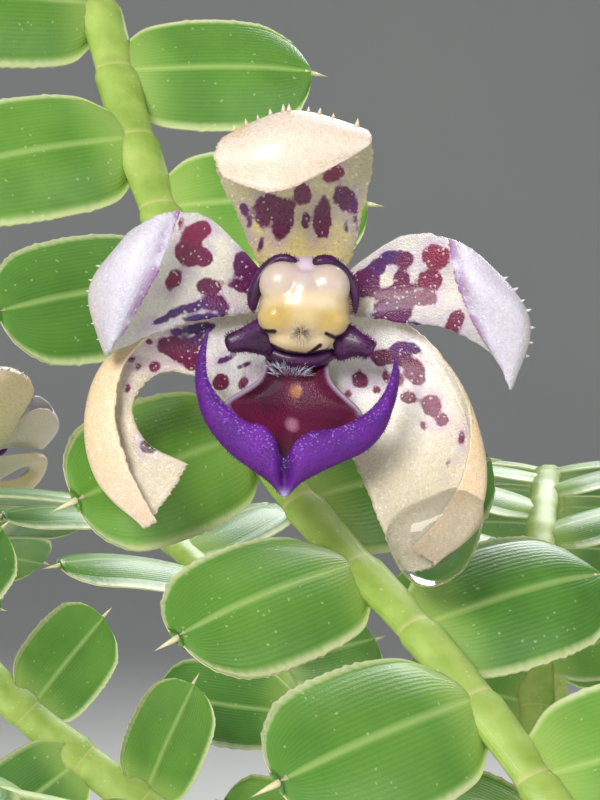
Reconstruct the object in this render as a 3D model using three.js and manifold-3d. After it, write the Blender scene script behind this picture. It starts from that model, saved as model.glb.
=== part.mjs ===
// Potted Dichaea pendula: a small pendent orchid in a plain terracotta pot, in millimetres, +Z up.
// The origin is the centre of the pot's flat base. The main bloom faces -Y.
import * as THREE from "three";
import { mergeVertices } from "three/addons/utils/BufferGeometryUtils.js";
import Module from "manifold-3d";

const wasm = await Module();
wasm.setup();
const { Manifold, Mesh: SolidMesh } = wasm;

// Driving dimensions
const GAP = 0.3; // clearance between neighbouring pieces
const GRID = 1 / 512; // the step that finished corners are rounded to
const POT = {
  height: 58,
  baseRadius: 21.5,
  shoulderRadius: 28,
  rimRadius: 32,
  rimHeight: 12,
  wall: 3.4,
  floor: 4.5,
  chamfer: 0.8,
  sides: 28,
};
const DRAIN = { count: 3, radius: 3, circle: 11.5, sides: 10 };
const MIX = {
  top: 49,
  crown: 1.5,
  sides: 24,
  chips: 25,
  chipLength: [7.5, 11.5],
  chipWidth: [4.5, 6.5],
  chipHeight: [3, 4.6],
};
const HOLE = { depth: 9, radius: 2, sides: 6, above: 9 };
const STEM = { halfWidth: 1.35, halfDepth: 0.8, rootRadius: 1.2, step: 5.6, sides: 6, tipBare: 4.6 };
const LEAF = {
  length: 11.5,
  halfWidth: 3.7,
  thickness: 0.76,
  pitch: 4.7,
  angleSpread: [-7, 7],
  lift: [0.02, 0.16],
  roll: [-0.28, -0.16],
  rise: 0.18,
  droop: [0.16, 0.26],
  sag: 0.2,
  mucro: 1.4,
  mucroDrop: 0.5,
};
const BLOOM = { thickness: 0.6, rows: 8, columns: 4, lessRows: 7, lessColumns: 3 };
const MAIN_BLOOM = new THREE.Vector3(-14, -36, 100); // the foot of the main bloom's column

const INNER_SHOULDER = POT.height - POT.rimHeight - 4; // where the pot's inside bends outward

// One seeded draw after another, the same on every run.
function seededDraw(seed) {
  let state = seed;
  return () => {
    state = (state * 48271) % 2147483647;
    return state / 2147483647;
  };
}
const between = (draw, [low, high]) => low + (high - low) * draw();
const vector = (x, y, z) => new THREE.Vector3(x, y, z);
const radians = THREE.MathUtils.degToRad;

// Turning a closed geometry into a solid for joining and cutting, and back.
function solidFrom(geometry) {
  const bare = geometry.index ? geometry.toNonIndexed() : geometry.clone();
  for (const name of Object.keys(bare.attributes)) {
    if (name !== "position") {
      bare.deleteAttribute(name);
    }
  }
  const merged = mergeVertices(bare, 1e-4);
  return new Manifold(
    new SolidMesh({
      numProp: 3,
      vertProperties: merged.attributes.position.array,
      triVerts: new Uint32Array(merged.index.array),
    }),
  );
}

// Corners land on a fine grid, so edges shorter than its step close up and their triangles drop out.
function geometryFrom(solid) {
  const { vertProperties, triVerts } = solid.getMesh();
  const corners = new Map();
  const points = [];
  const snapped = [];
  for (let i = 0; i < vertProperties.length; i += 3) {
    const point = [0, 1, 2].map((k) => Math.round(vertProperties[i + k] / GRID) * GRID);
    const key = point.join(" ");
    if (!corners.has(key)) {
      corners.set(key, points.length / 3);
      points.push(...point);
    }
    snapped.push(corners.get(key));
  }
  const faces = [];
  for (let i = 0; i < triVerts.length; i += 3) {
    const [a, b, c] = [0, 1, 2].map((k) => snapped[triVerts[i + k]]);
    if (a !== b && b !== c && c !== a) {
      faces.push(a, b, c);
    }
  }
  const geometry = new THREE.BufferGeometry();
  geometry.setAttribute("position", new THREE.Float32BufferAttribute(points, 3));
  geometry.setIndex(faces);
  return geometry;
}

const joined = (solids) => Manifold.union(solids);

// Fused pieces as one body, without the loose scraps that a grazing cut can leave.
function fused(solids) {
  const bodies = joined(solids).decompose();
  return bodies.reduce((largest, body) => (body.volume() > largest.volume() ? body : largest));
}

// A closed skin over a row of rings, each a loop of the same number of points, with both ends capped.
// A ring that is a single point closes the skin like the tip of a cone.
function skin(rings) {
  const points = [];
  const starts = rings.map((ring) => {
    const start = points.length;
    points.push(...ring);
    return start;
  });
  const faces = [];
  const count = rings[0].length;
  for (let r = 0; r + 1 < rings.length; r += 1) {
    const pointed = rings[r + 1].length === 1;
    for (let i = 0; i < count; i += 1) {
      const next = (i + 1) % count;
      const a = starts[r] + i;
      const b = starts[r] + next;
      if (pointed) {
        faces.push(a, b, starts[r + 1]);
      } else {
        const c = starts[r + 1] + next;
        const d = starts[r + 1] + i;
        faces.push(a, b, c, a, c, d);
      }
    }
  }
  for (let i = 1; i + 1 < count; i += 1) {
    faces.push(starts[0], starts[0] + i + 1, starts[0] + i);
    if (rings.at(-1).length > 1) {
      faces.push(starts.at(-1), starts.at(-1) + i, starts.at(-1) + i + 1);
    }
  }
  return closedGeometry(points, faces);
}

// An indexed geometry whose faces point out, whichever way round its loops were listed.
function closedGeometry(points, faces) {
  const geometry = new THREE.BufferGeometry().setFromPoints(points);
  let volume = 0;
  for (let i = 0; i < faces.length; i += 3) {
    const [a, b, c] = [points[faces[i]], points[faces[i + 1]], points[faces[i + 2]]];
    volume += a.dot(b.clone().cross(c)) / 6;
  }
  if (volume < 0) {
    for (let i = 0; i < faces.length; i += 3) {
      [faces[i + 1], faces[i + 2]] = [faces[i + 2], faces[i + 1]];
    }
  }
  geometry.setIndex(faces);
  return geometry;
}

// An upright prism, used for drain holes and for the stems' holes.
function post(x, y, low, high, radius, sides) {
  const cylinder = new THREE.CylinderGeometry(radius, radius, high - low, sides);
  cylinder.rotateX(Math.PI / 2);
  cylinder.translate(x, y, (low + high) / 2);
  return solidFrom(cylinder);
}

// A low-sided ball stretched to three half-sizes.
function ball(centre, halfSizes, across = 8, up = 6) {
  const sphere = new THREE.SphereGeometry(1, across, up);
  sphere.scale(...halfSizes);
  sphere.translate(centre.x, centre.y, centre.z);
  return solidFrom(sphere);
}

// The pot: a tapered body with a thick rim band and three drain holes round its solid middle.
function makePot() {
  const shoulder = POT.height - POT.rimHeight;
  const inner = (radius) => radius - POT.wall;
  const profile = [
    [0, 0],
    [POT.baseRadius - POT.chamfer, 0],
    [POT.baseRadius, POT.chamfer],
    [POT.shoulderRadius, shoulder],
    [POT.rimRadius - POT.chamfer, shoulder],
    [POT.rimRadius, shoulder + POT.chamfer],
    [POT.rimRadius, POT.height - POT.chamfer],
    [POT.rimRadius - POT.chamfer, POT.height],
    [inner(POT.rimRadius) + POT.chamfer, POT.height],
    [inner(POT.rimRadius), POT.height - POT.chamfer],
    [inner(POT.shoulderRadius), INNER_SHOULDER],
    [inner(POT.baseRadius), POT.floor],
    [0, POT.floor],
  ].map(([radius, height]) => new THREE.Vector2(radius, height));
  const lathe = new THREE.LatheGeometry(profile, POT.sides);
  lathe.rotateX(Math.PI / 2);
  const drains = Array.from({ length: DRAIN.count }, (_, i) => {
    const turn = radians(90 + (360 / DRAIN.count) * i);
    const x = DRAIN.circle * Math.cos(turn);
    const y = DRAIN.circle * Math.sin(turn);
    return post(x, y, -1, POT.floor + 1, DRAIN.radius, DRAIN.sides);
  });
  return solidFrom(lathe).subtract(joined(drains));
}

// The potting mix: a plug that fills the pot, with bark chips heaped on it and a plain hole for each stem.
function makeBarkMix(roots) {
  const clearance = GAP * 1.4; // the pot and the plug have different numbers of sides
  const inner = (height) => {
    const low = POT.baseRadius - POT.wall;
    const high = POT.shoulderRadius - POT.wall;
    const share = (height - POT.floor) / (INNER_SHOULDER - POT.floor);
    return low + (high - low) * Math.min(share, 1) - clearance;
  };
  const floor = POT.floor + GAP;
  const profile = [
    [0, floor],
    [inner(floor), floor],
    [inner(INNER_SHOULDER), INNER_SHOULDER],
    [inner(MIX.top) + 0.6, MIX.top - MIX.crown],
    [0, MIX.top],
  ].map(([radius, height]) => new THREE.Vector2(radius, height));
  const plug = new THREE.LatheGeometry(profile, MIX.sides);
  plug.rotateX(Math.PI / 2);
  const draw = seededDraw(20417);
  const chips = [];
  for (let i = 0; i < MIX.chips; i += 1) {
    const length = between(draw, MIX.chipLength);
    const reach = (inner(MIX.top) - length / 2 - 0.6) * Math.sqrt((i + 0.5) / MIX.chips);
    const turn = i * radians(137.5);
    const chip = new THREE.BoxGeometry(length, between(draw, MIX.chipWidth), between(draw, MIX.chipHeight));
    chip.rotateX(between(draw, [-0.35, 0.35]));
    chip.rotateY(between(draw, [-0.3, 0.3]));
    chip.rotateZ(between(draw, [0, Math.PI]));
    chip.translate(reach * Math.cos(turn), reach * Math.sin(turn), MIX.top - between(draw, [-0.6, 0.8]));
    chips.push(solidFrom(chip));
  }
  const [low, high] = [MIX.top - HOLE.depth, MIX.top + HOLE.above];
  const holes = roots.map((root) => post(root.x, root.y, low, high, HOLE.radius, HOLE.sides));
  return joined([solidFrom(plug), ...chips]).subtract(joined(holes));
}

// A stem's route with a frame at each place on it: tangent, face (the side its leaves look to) and side.
function route(points, face) {
  const curve = new THREE.CatmullRomCurve3(points, false, "centripetal");
  const length = curve.getLength();
  const frameAt = (distance) => {
    const share = Math.min(Math.max(distance / length, 0), 1);
    const tangent = curve.getTangentAt(share).normalize();
    const look = face(share);
    const normal = look.sub(tangent.clone().multiplyScalar(look.dot(tangent))).normalize();
    return { at: curve.getPointAt(share), tangent, normal, side: tangent.clone().cross(normal) };
  };
  return { length, frameAt };
}

const place = (frame, along, across, out) =>
  frame.at
    .clone()
    .addScaledVector(frame.tangent, along)
    .addScaledVector(frame.side, across)
    .addScaledVector(frame.normal, out);

// The flattened stem with its sheaths, round at the root and pointed at the tip.
function makeStem(path) {
  const steps = Math.round(path.length / STEM.step);
  const rings = [];
  for (let i = 0; i < steps; i += 1) {
    const distance = (path.length * i) / steps;
    const frame = path.frameAt(distance);
    const flat = THREE.MathUtils.smoothstep(distance, 8, 26);
    const taper = 1 - 0.3 * (distance / path.length) ** 3;
    const width = THREE.MathUtils.lerp(STEM.rootRadius, STEM.halfWidth, flat) * taper;
    const depth = THREE.MathUtils.lerp(STEM.rootRadius, STEM.halfDepth, flat) * taper;
    rings.push(
      Array.from({ length: STEM.sides }, (_, k) => {
        const turn = (2 * Math.PI * k) / STEM.sides;
        return place(frame, 0, width * Math.cos(turn), depth * Math.sin(turn));
      }),
    );
  }
  rings.push([path.frameAt(path.length).at]);
  return solidFrom(skin(rings));
}

// One leaf: a domed, keeled, oblong blade that clasps the stem and ends in a fine point.
// With a keel its underside is folded like its upper side, and without one it is flat.
const LEAF_RINGS = [
  { along: -0.06, width: 0.36 },
  { along: 0.17, width: 0.9 },
  { along: 0.45, width: 1 },
  { along: 0.77, width: 0.92 },
  { along: 0.94, width: 0.56 },
];
function makeLeaf(frame, hand, size, draw, { keeled, leafAngle }) {
  const angle = radians(leafAngle + between(draw, LEAF.angleSpread));
  const lift = between(draw, LEAF.lift);
  const roll = between(draw, LEAF.roll);
  const droop = between(draw, LEAF.droop);
  const along = frame.tangent.clone().multiplyScalar(Math.cos(angle));
  along.addScaledVector(frame.side, hand * Math.sin(angle)).addScaledVector(frame.normal, lift).normalize();
  const flat = frame.normal.clone().cross(along).normalize();
  const up = along.clone().cross(flat).normalize();
  const across = flat.clone().applyAxisAngle(along, roll * hand);
  up.applyAxisAngle(along, roll * hand);
  const length = LEAF.length * size;
  const start = place(frame, 0, hand * STEM.halfWidth * 0.35, 0);
  const spine = (share) =>
    start
      .clone()
      .addScaledVector(along, length * share)
      .addScaledVector(up, length * (LEAF.rise * share - droop * share * share));
  const stations = keeled ? LEAF_RINGS : LEAF_RINGS.filter((_, i) => i !== 2);
  const rings = stations.map(({ along: share, width }) => {
    const half = LEAF.halfWidth * size * width;
    const thick = (LEAF.thickness / 2) * (share > 0.9 ? 0.75 : 1);
    const centre = spine(share);
    const sag = LEAF.sag * half;
    const ring = [
      centre.clone().addScaledVector(across, half).addScaledVector(up, -sag),
      centre.clone().addScaledVector(up, thick),
      centre.clone().addScaledVector(across, -half).addScaledVector(up, -sag),
    ];
    return keeled ? [...ring, centre.clone().addScaledVector(up, -thick)] : ring;
  });
  const tip = spine(1).addScaledVector(along, LEAF.mucro * size);
  rings.push([tip.addScaledVector(up, -LEAF.mucroDrop * size)]);
  return solidFrom(skin(rings));
}

// A leafy stem: two ranks of leaves, left and right in turn, smaller at both ends.
function makeLeafyStem(path, foliage) {
  const draw = seededDraw(foliage.seed);
  const parts = [makeStem(path)];
  const count = Math.floor((path.length - STEM.tipBare - foliage.bareLength) / LEAF.pitch);
  for (let i = 0; i <= count; i += 1) {
    const frame = path.frameAt(foliage.bareLength + LEAF.pitch * i);
    const share = i / count;
    const young = 0.78 + 0.22 * Math.min(share / 0.25, 1);
    const size = young - 0.42 * Math.max((share - foliage.fullTo) / (1 - foliage.fullTo), 0) ** 1.6;
    const own = foliage.leafSize * between(draw, [0.94, 1.04]);
    parts.push(makeLeaf(frame, i % 2 ? -1 : 1, size * own, draw, foliage));
  }
  return fused(parts);
}

// The main stem rises at the left, arches over and hangs forward and down behind the bloom.
// Each point is right, up and forward of the main bloom's foot.
const inBloomView = ([right, up, forward]) => MAIN_BLOOM.clone().add(vector(right, -forward, up));
const MAIN_STEM_ROUTE = [
  [5, -59.7, -38],
  [5, -47.5, -38],
  [-4, -35, -39],
  [-20, -22, -41],
  [-32, -4, -42],
  [-36, 14, -40],
  [-32, 26, -36],
  [-24, 30.5, -30.5],
  [-16, 26.5, -24.5],
  [-11.5, 18.4, -20],
  [-9.3, 11.2, -16],
  [-6.6, 4, -12],
  [-4.1, -2.2, -8.8],
  [-1.3, -7.1, -6.2],
  [1.6, -10.6, -3.6],
  [4.5, -13.5, -0.6],
  [7.6, -17, 2.6],
  [10.4, -20.7, 5.4],
  [13.3, -25.6, 8],
  [15.9, -31.8, 10],
  [18, -38.8, 11.2],
  [19.6, -46.3, 11.8],
].map(inBloomView);
const RISING_FACE = vector(-0.75, 0.35, 0.3);
const HANGING_FACE = vector(0.25, -0.62, 0.74);
const mainRoute = route(MAIN_STEM_ROUTE, (share) => {
  return RISING_FACE.clone().lerp(HANGING_FACE, THREE.MathUtils.smoothstep(share, 0.25, 0.55));
});

// Every other stem arches out of the mix in an upright plane and droops.
function archingRoute({ x, y, heading, length, droop, lean }) {
  const outward = vector(Math.cos(radians(heading)), Math.sin(radians(heading)), 0);
  const buried = HOLE.depth + 4;
  const points = [vector(x, y, MIX.top - HOLE.depth + GAP), vector(x, y, MIX.top + 4 + GAP)];
  const steps = 14;
  const free = length - buried;
  let at = points[1].clone();
  for (let i = 1; i <= steps; i += 1) {
    const share = (i - 0.5) / steps;
    const tilt = radians(lean * Math.min(share * 4, 1) + (droop - lean) * share ** 0.95);
    at = at.clone().addScaledVector(outward, (Math.sin(tilt) * free) / steps);
    at.z += (Math.cos(tilt) * free) / steps;
    points.push(at);
  }
  return route(points, () => outward.clone().add(vector(0, 0, 0.75)));
}
const ARCHING_STEMS = [
  { x: 14, y: -1, heading: -10, length: 124, droop: 152, lean: 10, seed: 320 },
  { x: 12, y: 11, heading: 36, length: 108, droop: 146, lean: 6, seed: 913 },
  { x: 2, y: 15, heading: 82, length: 128, droop: 158, lean: 8, seed: 1544 },
  { x: -10, y: 13, heading: 126, length: 114, droop: 150, lean: 6, seed: 2294 },
  { x: -13, y: -8, heading: 214, length: 92, droop: 148, lean: 24, seed: 3073 },
  { x: 6, y: -14, heading: 306, length: 88, droop: 150, lean: 22, seed: 4029 },
];

// A thin closed sheet through a grid of points, smooth both ways, with the same triangles on both faces.
function sheet(grid, rows, columns, thickness) {
  const lengthwise = grid[0].map((_, column) => {
    return new THREE.CatmullRomCurve3(grid.map((row) => row[column]));
  });
  const middle = [];
  for (let r = 0; r <= rows; r += 1) {
    const across = new THREE.CatmullRomCurve3(lengthwise.map((curve) => curve.getPoint(r / rows)));
    for (let c = 0; c <= columns; c += 1) {
      middle.push(across.getPoint(c / columns));
    }
  }
  const clamp = THREE.MathUtils.clamp;
  const at = (r, c) => middle[clamp(r, 0, rows) * (columns + 1) + clamp(c, 0, columns)];
  const front = [];
  const back = [];
  for (let r = 0; r <= rows; r += 1) {
    for (let c = 0; c <= columns; c += 1) {
      const down = at(r + 1, c).clone().sub(at(r - 1, c));
      const over = at(r, c + 1).clone().sub(at(r, c - 1));
      const normal = down.cross(over).normalize().multiplyScalar(thickness / 2);
      front.push(at(r, c).clone().add(normal));
      back.push(at(r, c).clone().sub(normal));
    }
  }
  const points = [...front, ...back];
  const size = front.length;
  const faces = [];
  const quad = (a, b, c, d) => faces.push(a, b, c, a, c, d);
  const index = (r, c) => r * (columns + 1) + c;
  for (let r = 0; r < rows; r += 1) {
    for (let c = 0; c < columns; c += 1) {
      const corners = [index(r, c), index(r, c + 1), index(r + 1, c + 1), index(r + 1, c)];
      faces.push(corners[0], corners[2], corners[1], corners[0], corners[3], corners[2]);
      quad(...corners.map((corner) => corner + size));
    }
  }
  const rim = [];
  for (let c = 0; c < columns; c += 1) {
    rim.push(index(0, c));
  }
  for (let r = 0; r < rows; r += 1) {
    rim.push(index(r, columns));
  }
  for (let c = columns; c > 0; c -= 1) {
    rim.push(index(rows, c));
  }
  for (let r = rows; r > 0; r -= 1) {
    rim.push(index(r, 0));
  }
  rim.forEach((corner, i) => {
    const next = rim[(i + 1) % rim.length];
    quad(corner, next, next + size, corner + size);
  });
  return solidFrom(closedGeometry(points, faces));
}

// The bloom. Its pieces are drawn right, up and forward of the column's foot, seen from the front.
// Each grid runs from the base to the apex, and across from one margin to the other.
const DORSAL_SEPAL = [
  [[-1.1, 1.5, -1.3], [0, 1.5, -1.4], [1.1, 1.5, -1.3]],
  [[-2.2, 2.9, -0.9], [0, 2.9, -1.1], [2.2, 2.9, -0.9]],
  [[-3, 4.9, -0.1], [-0.1, 4.9, -0.4], [2.7, 4.9, -0.1]],
  [[-4, 7.2, 0.9], [-0.4, 7.3, 0.5], [3.2, 7.5, 0.9]],
  [[-3.6, 8.3, 1.9], [-0.5, 9.3, 1.6], [2.9, 8.6, 1.9]],
  [[-4, 7.4, 2.7], [-0.5, 8.4, 3.1], [3.1, 8, 2.7]],
  [[-3.6, 6.4, 2.9], [-1.3, 5.7, 3.6], [2, 7.2, 3]],
];
const LEFT_PETAL = [
  [[-1.4, 1.7, -0.5], [-1.5, 1.1, -0.6], [-1.5, 0.4, -0.5]],
  [[-3, 3.5, 0.4], [-3.1, 1.9, -0.1], [-3.1, 0.3, 0.3]],
  [[-4.8, 4.9, 0.8], [-5, 2.4, 0.4], [-5, 0, 0.7]],
  [[-6.9, 4.6, 1.3], [-7.3, 2, 1], [-7, -0.7, 1.3]],
  [[-8.2, 3.5, 2.1], [-9.5, 1.2, 2], [-9, -1.6, 2.1]],
  [[-8, 3.8, 2.9], [-9, 1.4, 3.1], [-8.7, -1.4, 2.9]],
  [[-6.6, 4.6, 3.2], [-7.8, 2, 3.7], [-8.6, -1.1, 3.1]],
  [[-5.6, 4.9, 2.8], [-6.6, 2, 3.6], [-8.2, -0.7, 3]],
];
const RIGHT_PETAL = [
  [[1.4, 1.7, -0.5], [1.5, 1.1, -0.6], [1.5, 0.4, -0.5]],
  [[2.9, 2.9, 0.4], [3, 1.5, -0.1], [2.8, 0.2, 0.3]],
  [[4.7, 3.9, 0.8], [4.8, 1.9, 0.4], [4.7, -0.1, 0.7]],
  [[6.7, 3.7, 1.3], [7.1, 1.6, 1], [7, -0.5, 1.2]],
  [[8.4, 2.5, 2], [10, 0, 2.1], [9.6, -2.6, 2]],
  [[8.2, 2.6, 2.9], [9.8, 0.1, 3.1], [9.4, -3.2, 2.6]],
  [[7.3, 3.3, 3.1], [8.4, 0.8, 3.6], [9.1, -2.4, 2.8]],
  [[6.6, 3.6, 2.6], [7.1, 1.2, 3.3], [8.4, -1.4, 2.9]],
];
const LEFT_LATERAL_SEPAL = [
  [[-1, 0.6, -1.3], [-1, -0.3, -1.35], [-1, -1.2, -1.4], [-1, -2.3, -1.2]],
  [[-3.9, 0.4, -0.8], [-3.8, -1, -0.8], [-3.4, -2.5, -0.8], [-3.1, -3.9, -0.2]],
  [[-6.4, -0.3, 0.1], [-6.3, -1, -0.3], [-5.6, -1.8, -0.2], [-5, -2.6, 0.2]],
  [[-8.2, -1.9, 1.5], [-8.8, -1.9, 0.7], [-7.8, -2.3, 0.4], [-6.8, -2.5, 0.6]],
  [[-8.6, -4.4, 2.1], [-9.8, -4.6, 1.3], [-8.8, -4.2, 0.9], [-7.9, -3.9, 1.1]],
  [[-7.9, -6.8, 2.6], [-9.4, -7.2, 1.8], [-8.2, -6.5, 1.5], [-7.2, -5.6, 1.7]],
  [[-6.7, -9.2, 2.7], [-7.3, -9.5, 2.3], [-6.2, -8.1, 2.1], [-5.3, -6.6, 2.3]],
];
const RIGHT_LATERAL_SEPAL = [
  [[0.9, -2.3, -1.2], [1, -1.2, -1.4], [1, -0.3, -1.35], [1, 0.6, -1.3]],
  [[1.8, -4.1, -0.2], [3.2, -2.2, -0.9], [4.1, -0.6, -0.8], [4.2, 0.2, -0.8]],
  [[1.9, -5.4, 0.4], [4.2, -3.8, -0.2], [6.3, -2.1, -0.1], [6.5, -1.8, 0.2]],
  [[2.5, -6.7, 0.8], [5.1, -5.6, 0.4], [7.6, -4.4, 0.8], [7.7, -4.3, 1.3]],
  [[3.2, -8.4, 1.3], [5.8, -7.6, 0.9], [8.2, -6.8, 1.3], [7.4, -6.9, 2.1]],
  [[3.9, -10.1, 1.8], [5.8, -9.6, 1.4], [7.8, -9, 1.8], [6, -9.3, 2.6]],
  [[4.5, -11.4, 2.2], [5.1, -11.4, 2.1], [6, -11.1, 2.2], [4.9, -10.4, 2.9]],
];
const LIP_FLOOR = [
  [[-2, -2.7, 1.4], [-1.2, -2.6, 0.8], [-0.4, -2.6, 0.6], [0.4, -2.7, 0.8], [1.3, -2.8, 1.4]],
  [[-3.6, -3.95, 2.8], [-2.2, -3.9, 1.7], [-0.5, -4, 1.2], [1.1, -4, 1.7], [2.7, -4.25, 2.8]],
  [[-2.6, -5.1, 3.7], [-1.8, -5.6, 3.7], [-0.85, -6.5, 3.9], [0.4, -5.6, 3.7], [2.4, -5, 3.6]],
];
// The lip's raised front edge, from horn to horn: right, up, forward and half its width.
const LIP_EDGE = [
  [-4.37, -0.41, 1.5, 0.12],
  [-4.64, -1.7, 2.1, 0.25],
  [-4.25, -3.9, 3, 0.54],
  [-3.6, -4.75, 3.5, 0.72],
  [-2.1, -5.85, 4.1, 1],
  [-0.85, -7, 4.5, 0.95],
  [0.55, -6.05, 4.2, 0.93],
  [1.6, -5.7, 3.9, 0.8],
  [3.4, -4.6, 3.2, 0.64],
  [4.25, -2.5, 2.3, 0.32],
  [4.3, -1.75, 1.8, 0.12],
];
const LIP_EDGE_HALF_DEPTH = 0.45;
const LIP_CLAW = [[-0.4, -2.5, 0.9], [-0.25, -2, 0.4], [-0.1, -1.5, -0.1]];
const CLAW_HALF_WIDTHS = [1.6, 1.45, 1.2];
const CLAW_HALF_DEPTHS = [0.4, 0.4, 0.35];

// Turning right, up and forward into the bloom's own axes, mirrored where hand is -1.
const inBloom = (hand) => ([right, up, forward]) => vector(hand * right, -forward, up);

function makeTepal(grid, hand, rows, columns) {
  const points = grid.map((row) => row.map(inBloom(hand)));
  return sheet(points, rows, columns, BLOOM.thickness);
}

// A tube of oval section along some points, with its own half-width and half-depth at each.
function taperedTube(points, halfWidths, halfDepths, look, sides) {
  const curve = new THREE.CatmullRomCurve3(points);
  const rings = points.map((point, i) => {
    const tangent = curve.getTangent(i / (points.length - 1));
    const normal = look.clone().sub(tangent.clone().multiplyScalar(look.dot(tangent))).normalize();
    const side = tangent.clone().cross(normal);
    return Array.from({ length: sides }, (_, k) => {
      const turn = (2 * Math.PI * k) / sides;
      return point
        .clone()
        .addScaledVector(side, halfWidths[i] * Math.cos(turn))
        .addScaledVector(normal, halfDepths[i] * Math.sin(turn));
    });
  });
  return solidFrom(skin(rings));
}

// The anchor-shaped lip: a hollow floor, a thick raised front edge with two horns, and a short claw.
function makeLip(hand) {
  const forward = vector(0, -1, 0);
  const toBloom = inBloom(hand);
  const edge = taperedTube(
    LIP_EDGE.map(toBloom),
    LIP_EDGE.map(([, , , half]) => half),
    LIP_EDGE.map(([, , , half]) => Math.min(half, LIP_EDGE_HALF_DEPTH)),
    forward,
    6,
  );
  const floor = sheet(LIP_FLOOR.map((row) => row.map(toBloom)), 3, 4, BLOOM.thickness);
  const claw = taperedTube(LIP_CLAW.map(toBloom), CLAW_HALF_WIDTHS, CLAW_HALF_DEPTHS, vector(0, -0.5, 1), 6);
  return fused([edge, floor, claw]);
}

// The column: a short stout body under two round anther domes, two lower lobes, a hood and two dark arms.
const COLUMN_LOBES = [
  [[0.05, 0.5, 1.5], [2.1, 1.7, 1.8]],
  [[-0.85, 1.75, 2.1], [1.05, 1.05, 1.0]],
  [[1.0, 1.65, 2.1], [1.05, 1.05, 1.0]],
  [[-0.95, 0.25, 2.0], [0.9, 1.0, 0.85]],
  [[1.05, 0.15, 2.0], [0.9, 1.0, 0.85]],
  [[-0.05, -0.85, 1.5], [1.5, 0.8, 0.9]],
];
const ARM_HALF_WIDTHS = [1.05, 0.75, 0.4];
const ARM_HALF_DEPTHS = [0.45, 0.4, 0.25];
const COLUMN_ARMS = [
  [[-1.3, -0.75, 1.2], [-2.4, -0.9, 1.5], [-3.45, -1.15, 1.7]],
  [[1.4, -1, 1.2], [2.3, -1.1, 1.5], [3.1, -1.4, 1.7]],
];
function makeColumn(hand) {
  const toBloom = inBloom(hand);
  const lobes = COLUMN_LOBES.map(([centre, halfSizes]) => ball(toBloom(centre), halfSizes, 7, 4));
  const arms = COLUMN_ARMS.map((points) =>
    taperedTube(points.map(toBloom), ARM_HALF_WIDTHS, ARM_HALF_DEPTHS, vector(0, -1, 0), 4),
  );
  return fused([...lobes, ...arms]);
}

// The stalk: a bristly ovary behind the bloom and a slim pedicel down to the stem.
const OVARY = { start: 2.0, share: 0.6, radius: 0.95, bristles: 14, bristleLength: 0.75 };
function makeStalk(seat, seatNormal) {
  const start = vector(0, OVARY.start, 0);
  const end = seat.clone().addScaledVector(seatNormal, STEM.halfDepth + GAP);
  const reach = start.distanceTo(end);
  const points = [
    start,
    vector(0, OVARY.start + 0.3 * reach, -0.1 * reach),
    end.clone().addScaledVector(seatNormal, 0.3 * reach),
    end,
  ];
  const curve = new THREE.CatmullRomCurve3(points);
  const stations = [0, 0.12, 0.35, 0.58, 0.72, 0.86, 1];
  const radii = [0.6, 0.9, 0.95, 0.75, 0.5, 0.45, 0.55];
  const centres = stations.map((share) => curve.getPointAt(share));
  const stalk = taperedTube(centres, radii, radii, vector(0.3, 0.2, 1), 7);
  const bristles = [];
  for (let i = 0; i < OVARY.bristles; i += 1) {
    const share = 0.08 + (0.4 * (i + 0.5)) / OVARY.bristles;
    const at = curve.getPointAt(share);
    const tangent = curve.getTangentAt(share);
    const out = vector(1, 0, 0).sub(tangent.clone().multiplyScalar(tangent.x)).normalize();
    out.applyAxisAngle(tangent, i * radians(137.5));
    const cone = new THREE.ConeGeometry(0.2, OVARY.bristleLength + 0.5, 3);
    cone.applyQuaternion(new THREE.Quaternion().setFromUnitVectors(vector(0, 1, 0), out));
    cone.translate(...at.clone().addScaledVector(out, OVARY.radius * 0.8 + OVARY.bristleLength / 2));
    bristles.push(solidFrom(cone));
  }
  return fused([stalk, ...bristles]);
}

// Colours and surfaces
const surface = (color, roughness) => new THREE.MeshStandardMaterial({ color, roughness, metalness: 0 });
const MATERIALS = {
  terracotta: surface(0xb4623c, 0.85),
  bark: surface(0x5b3a24, 0.95),
  leaf: surface(0x7fa53a, 0.45),
  sepal: surface(0xe8d9b4, 0.4),
  petal: surface(0xe9e2e4, 0.4),
  lip: surface(0x5c14a0, 0.5),
  column: surface(0xdcc096, 0.3),
  stalk: surface(0xa7b36a, 0.6),
};

function named(name, solid, material) {
  const mesh = new THREE.Mesh(geometryFrom(solid), material);
  mesh.name = name;
  return mesh;
}

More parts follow.
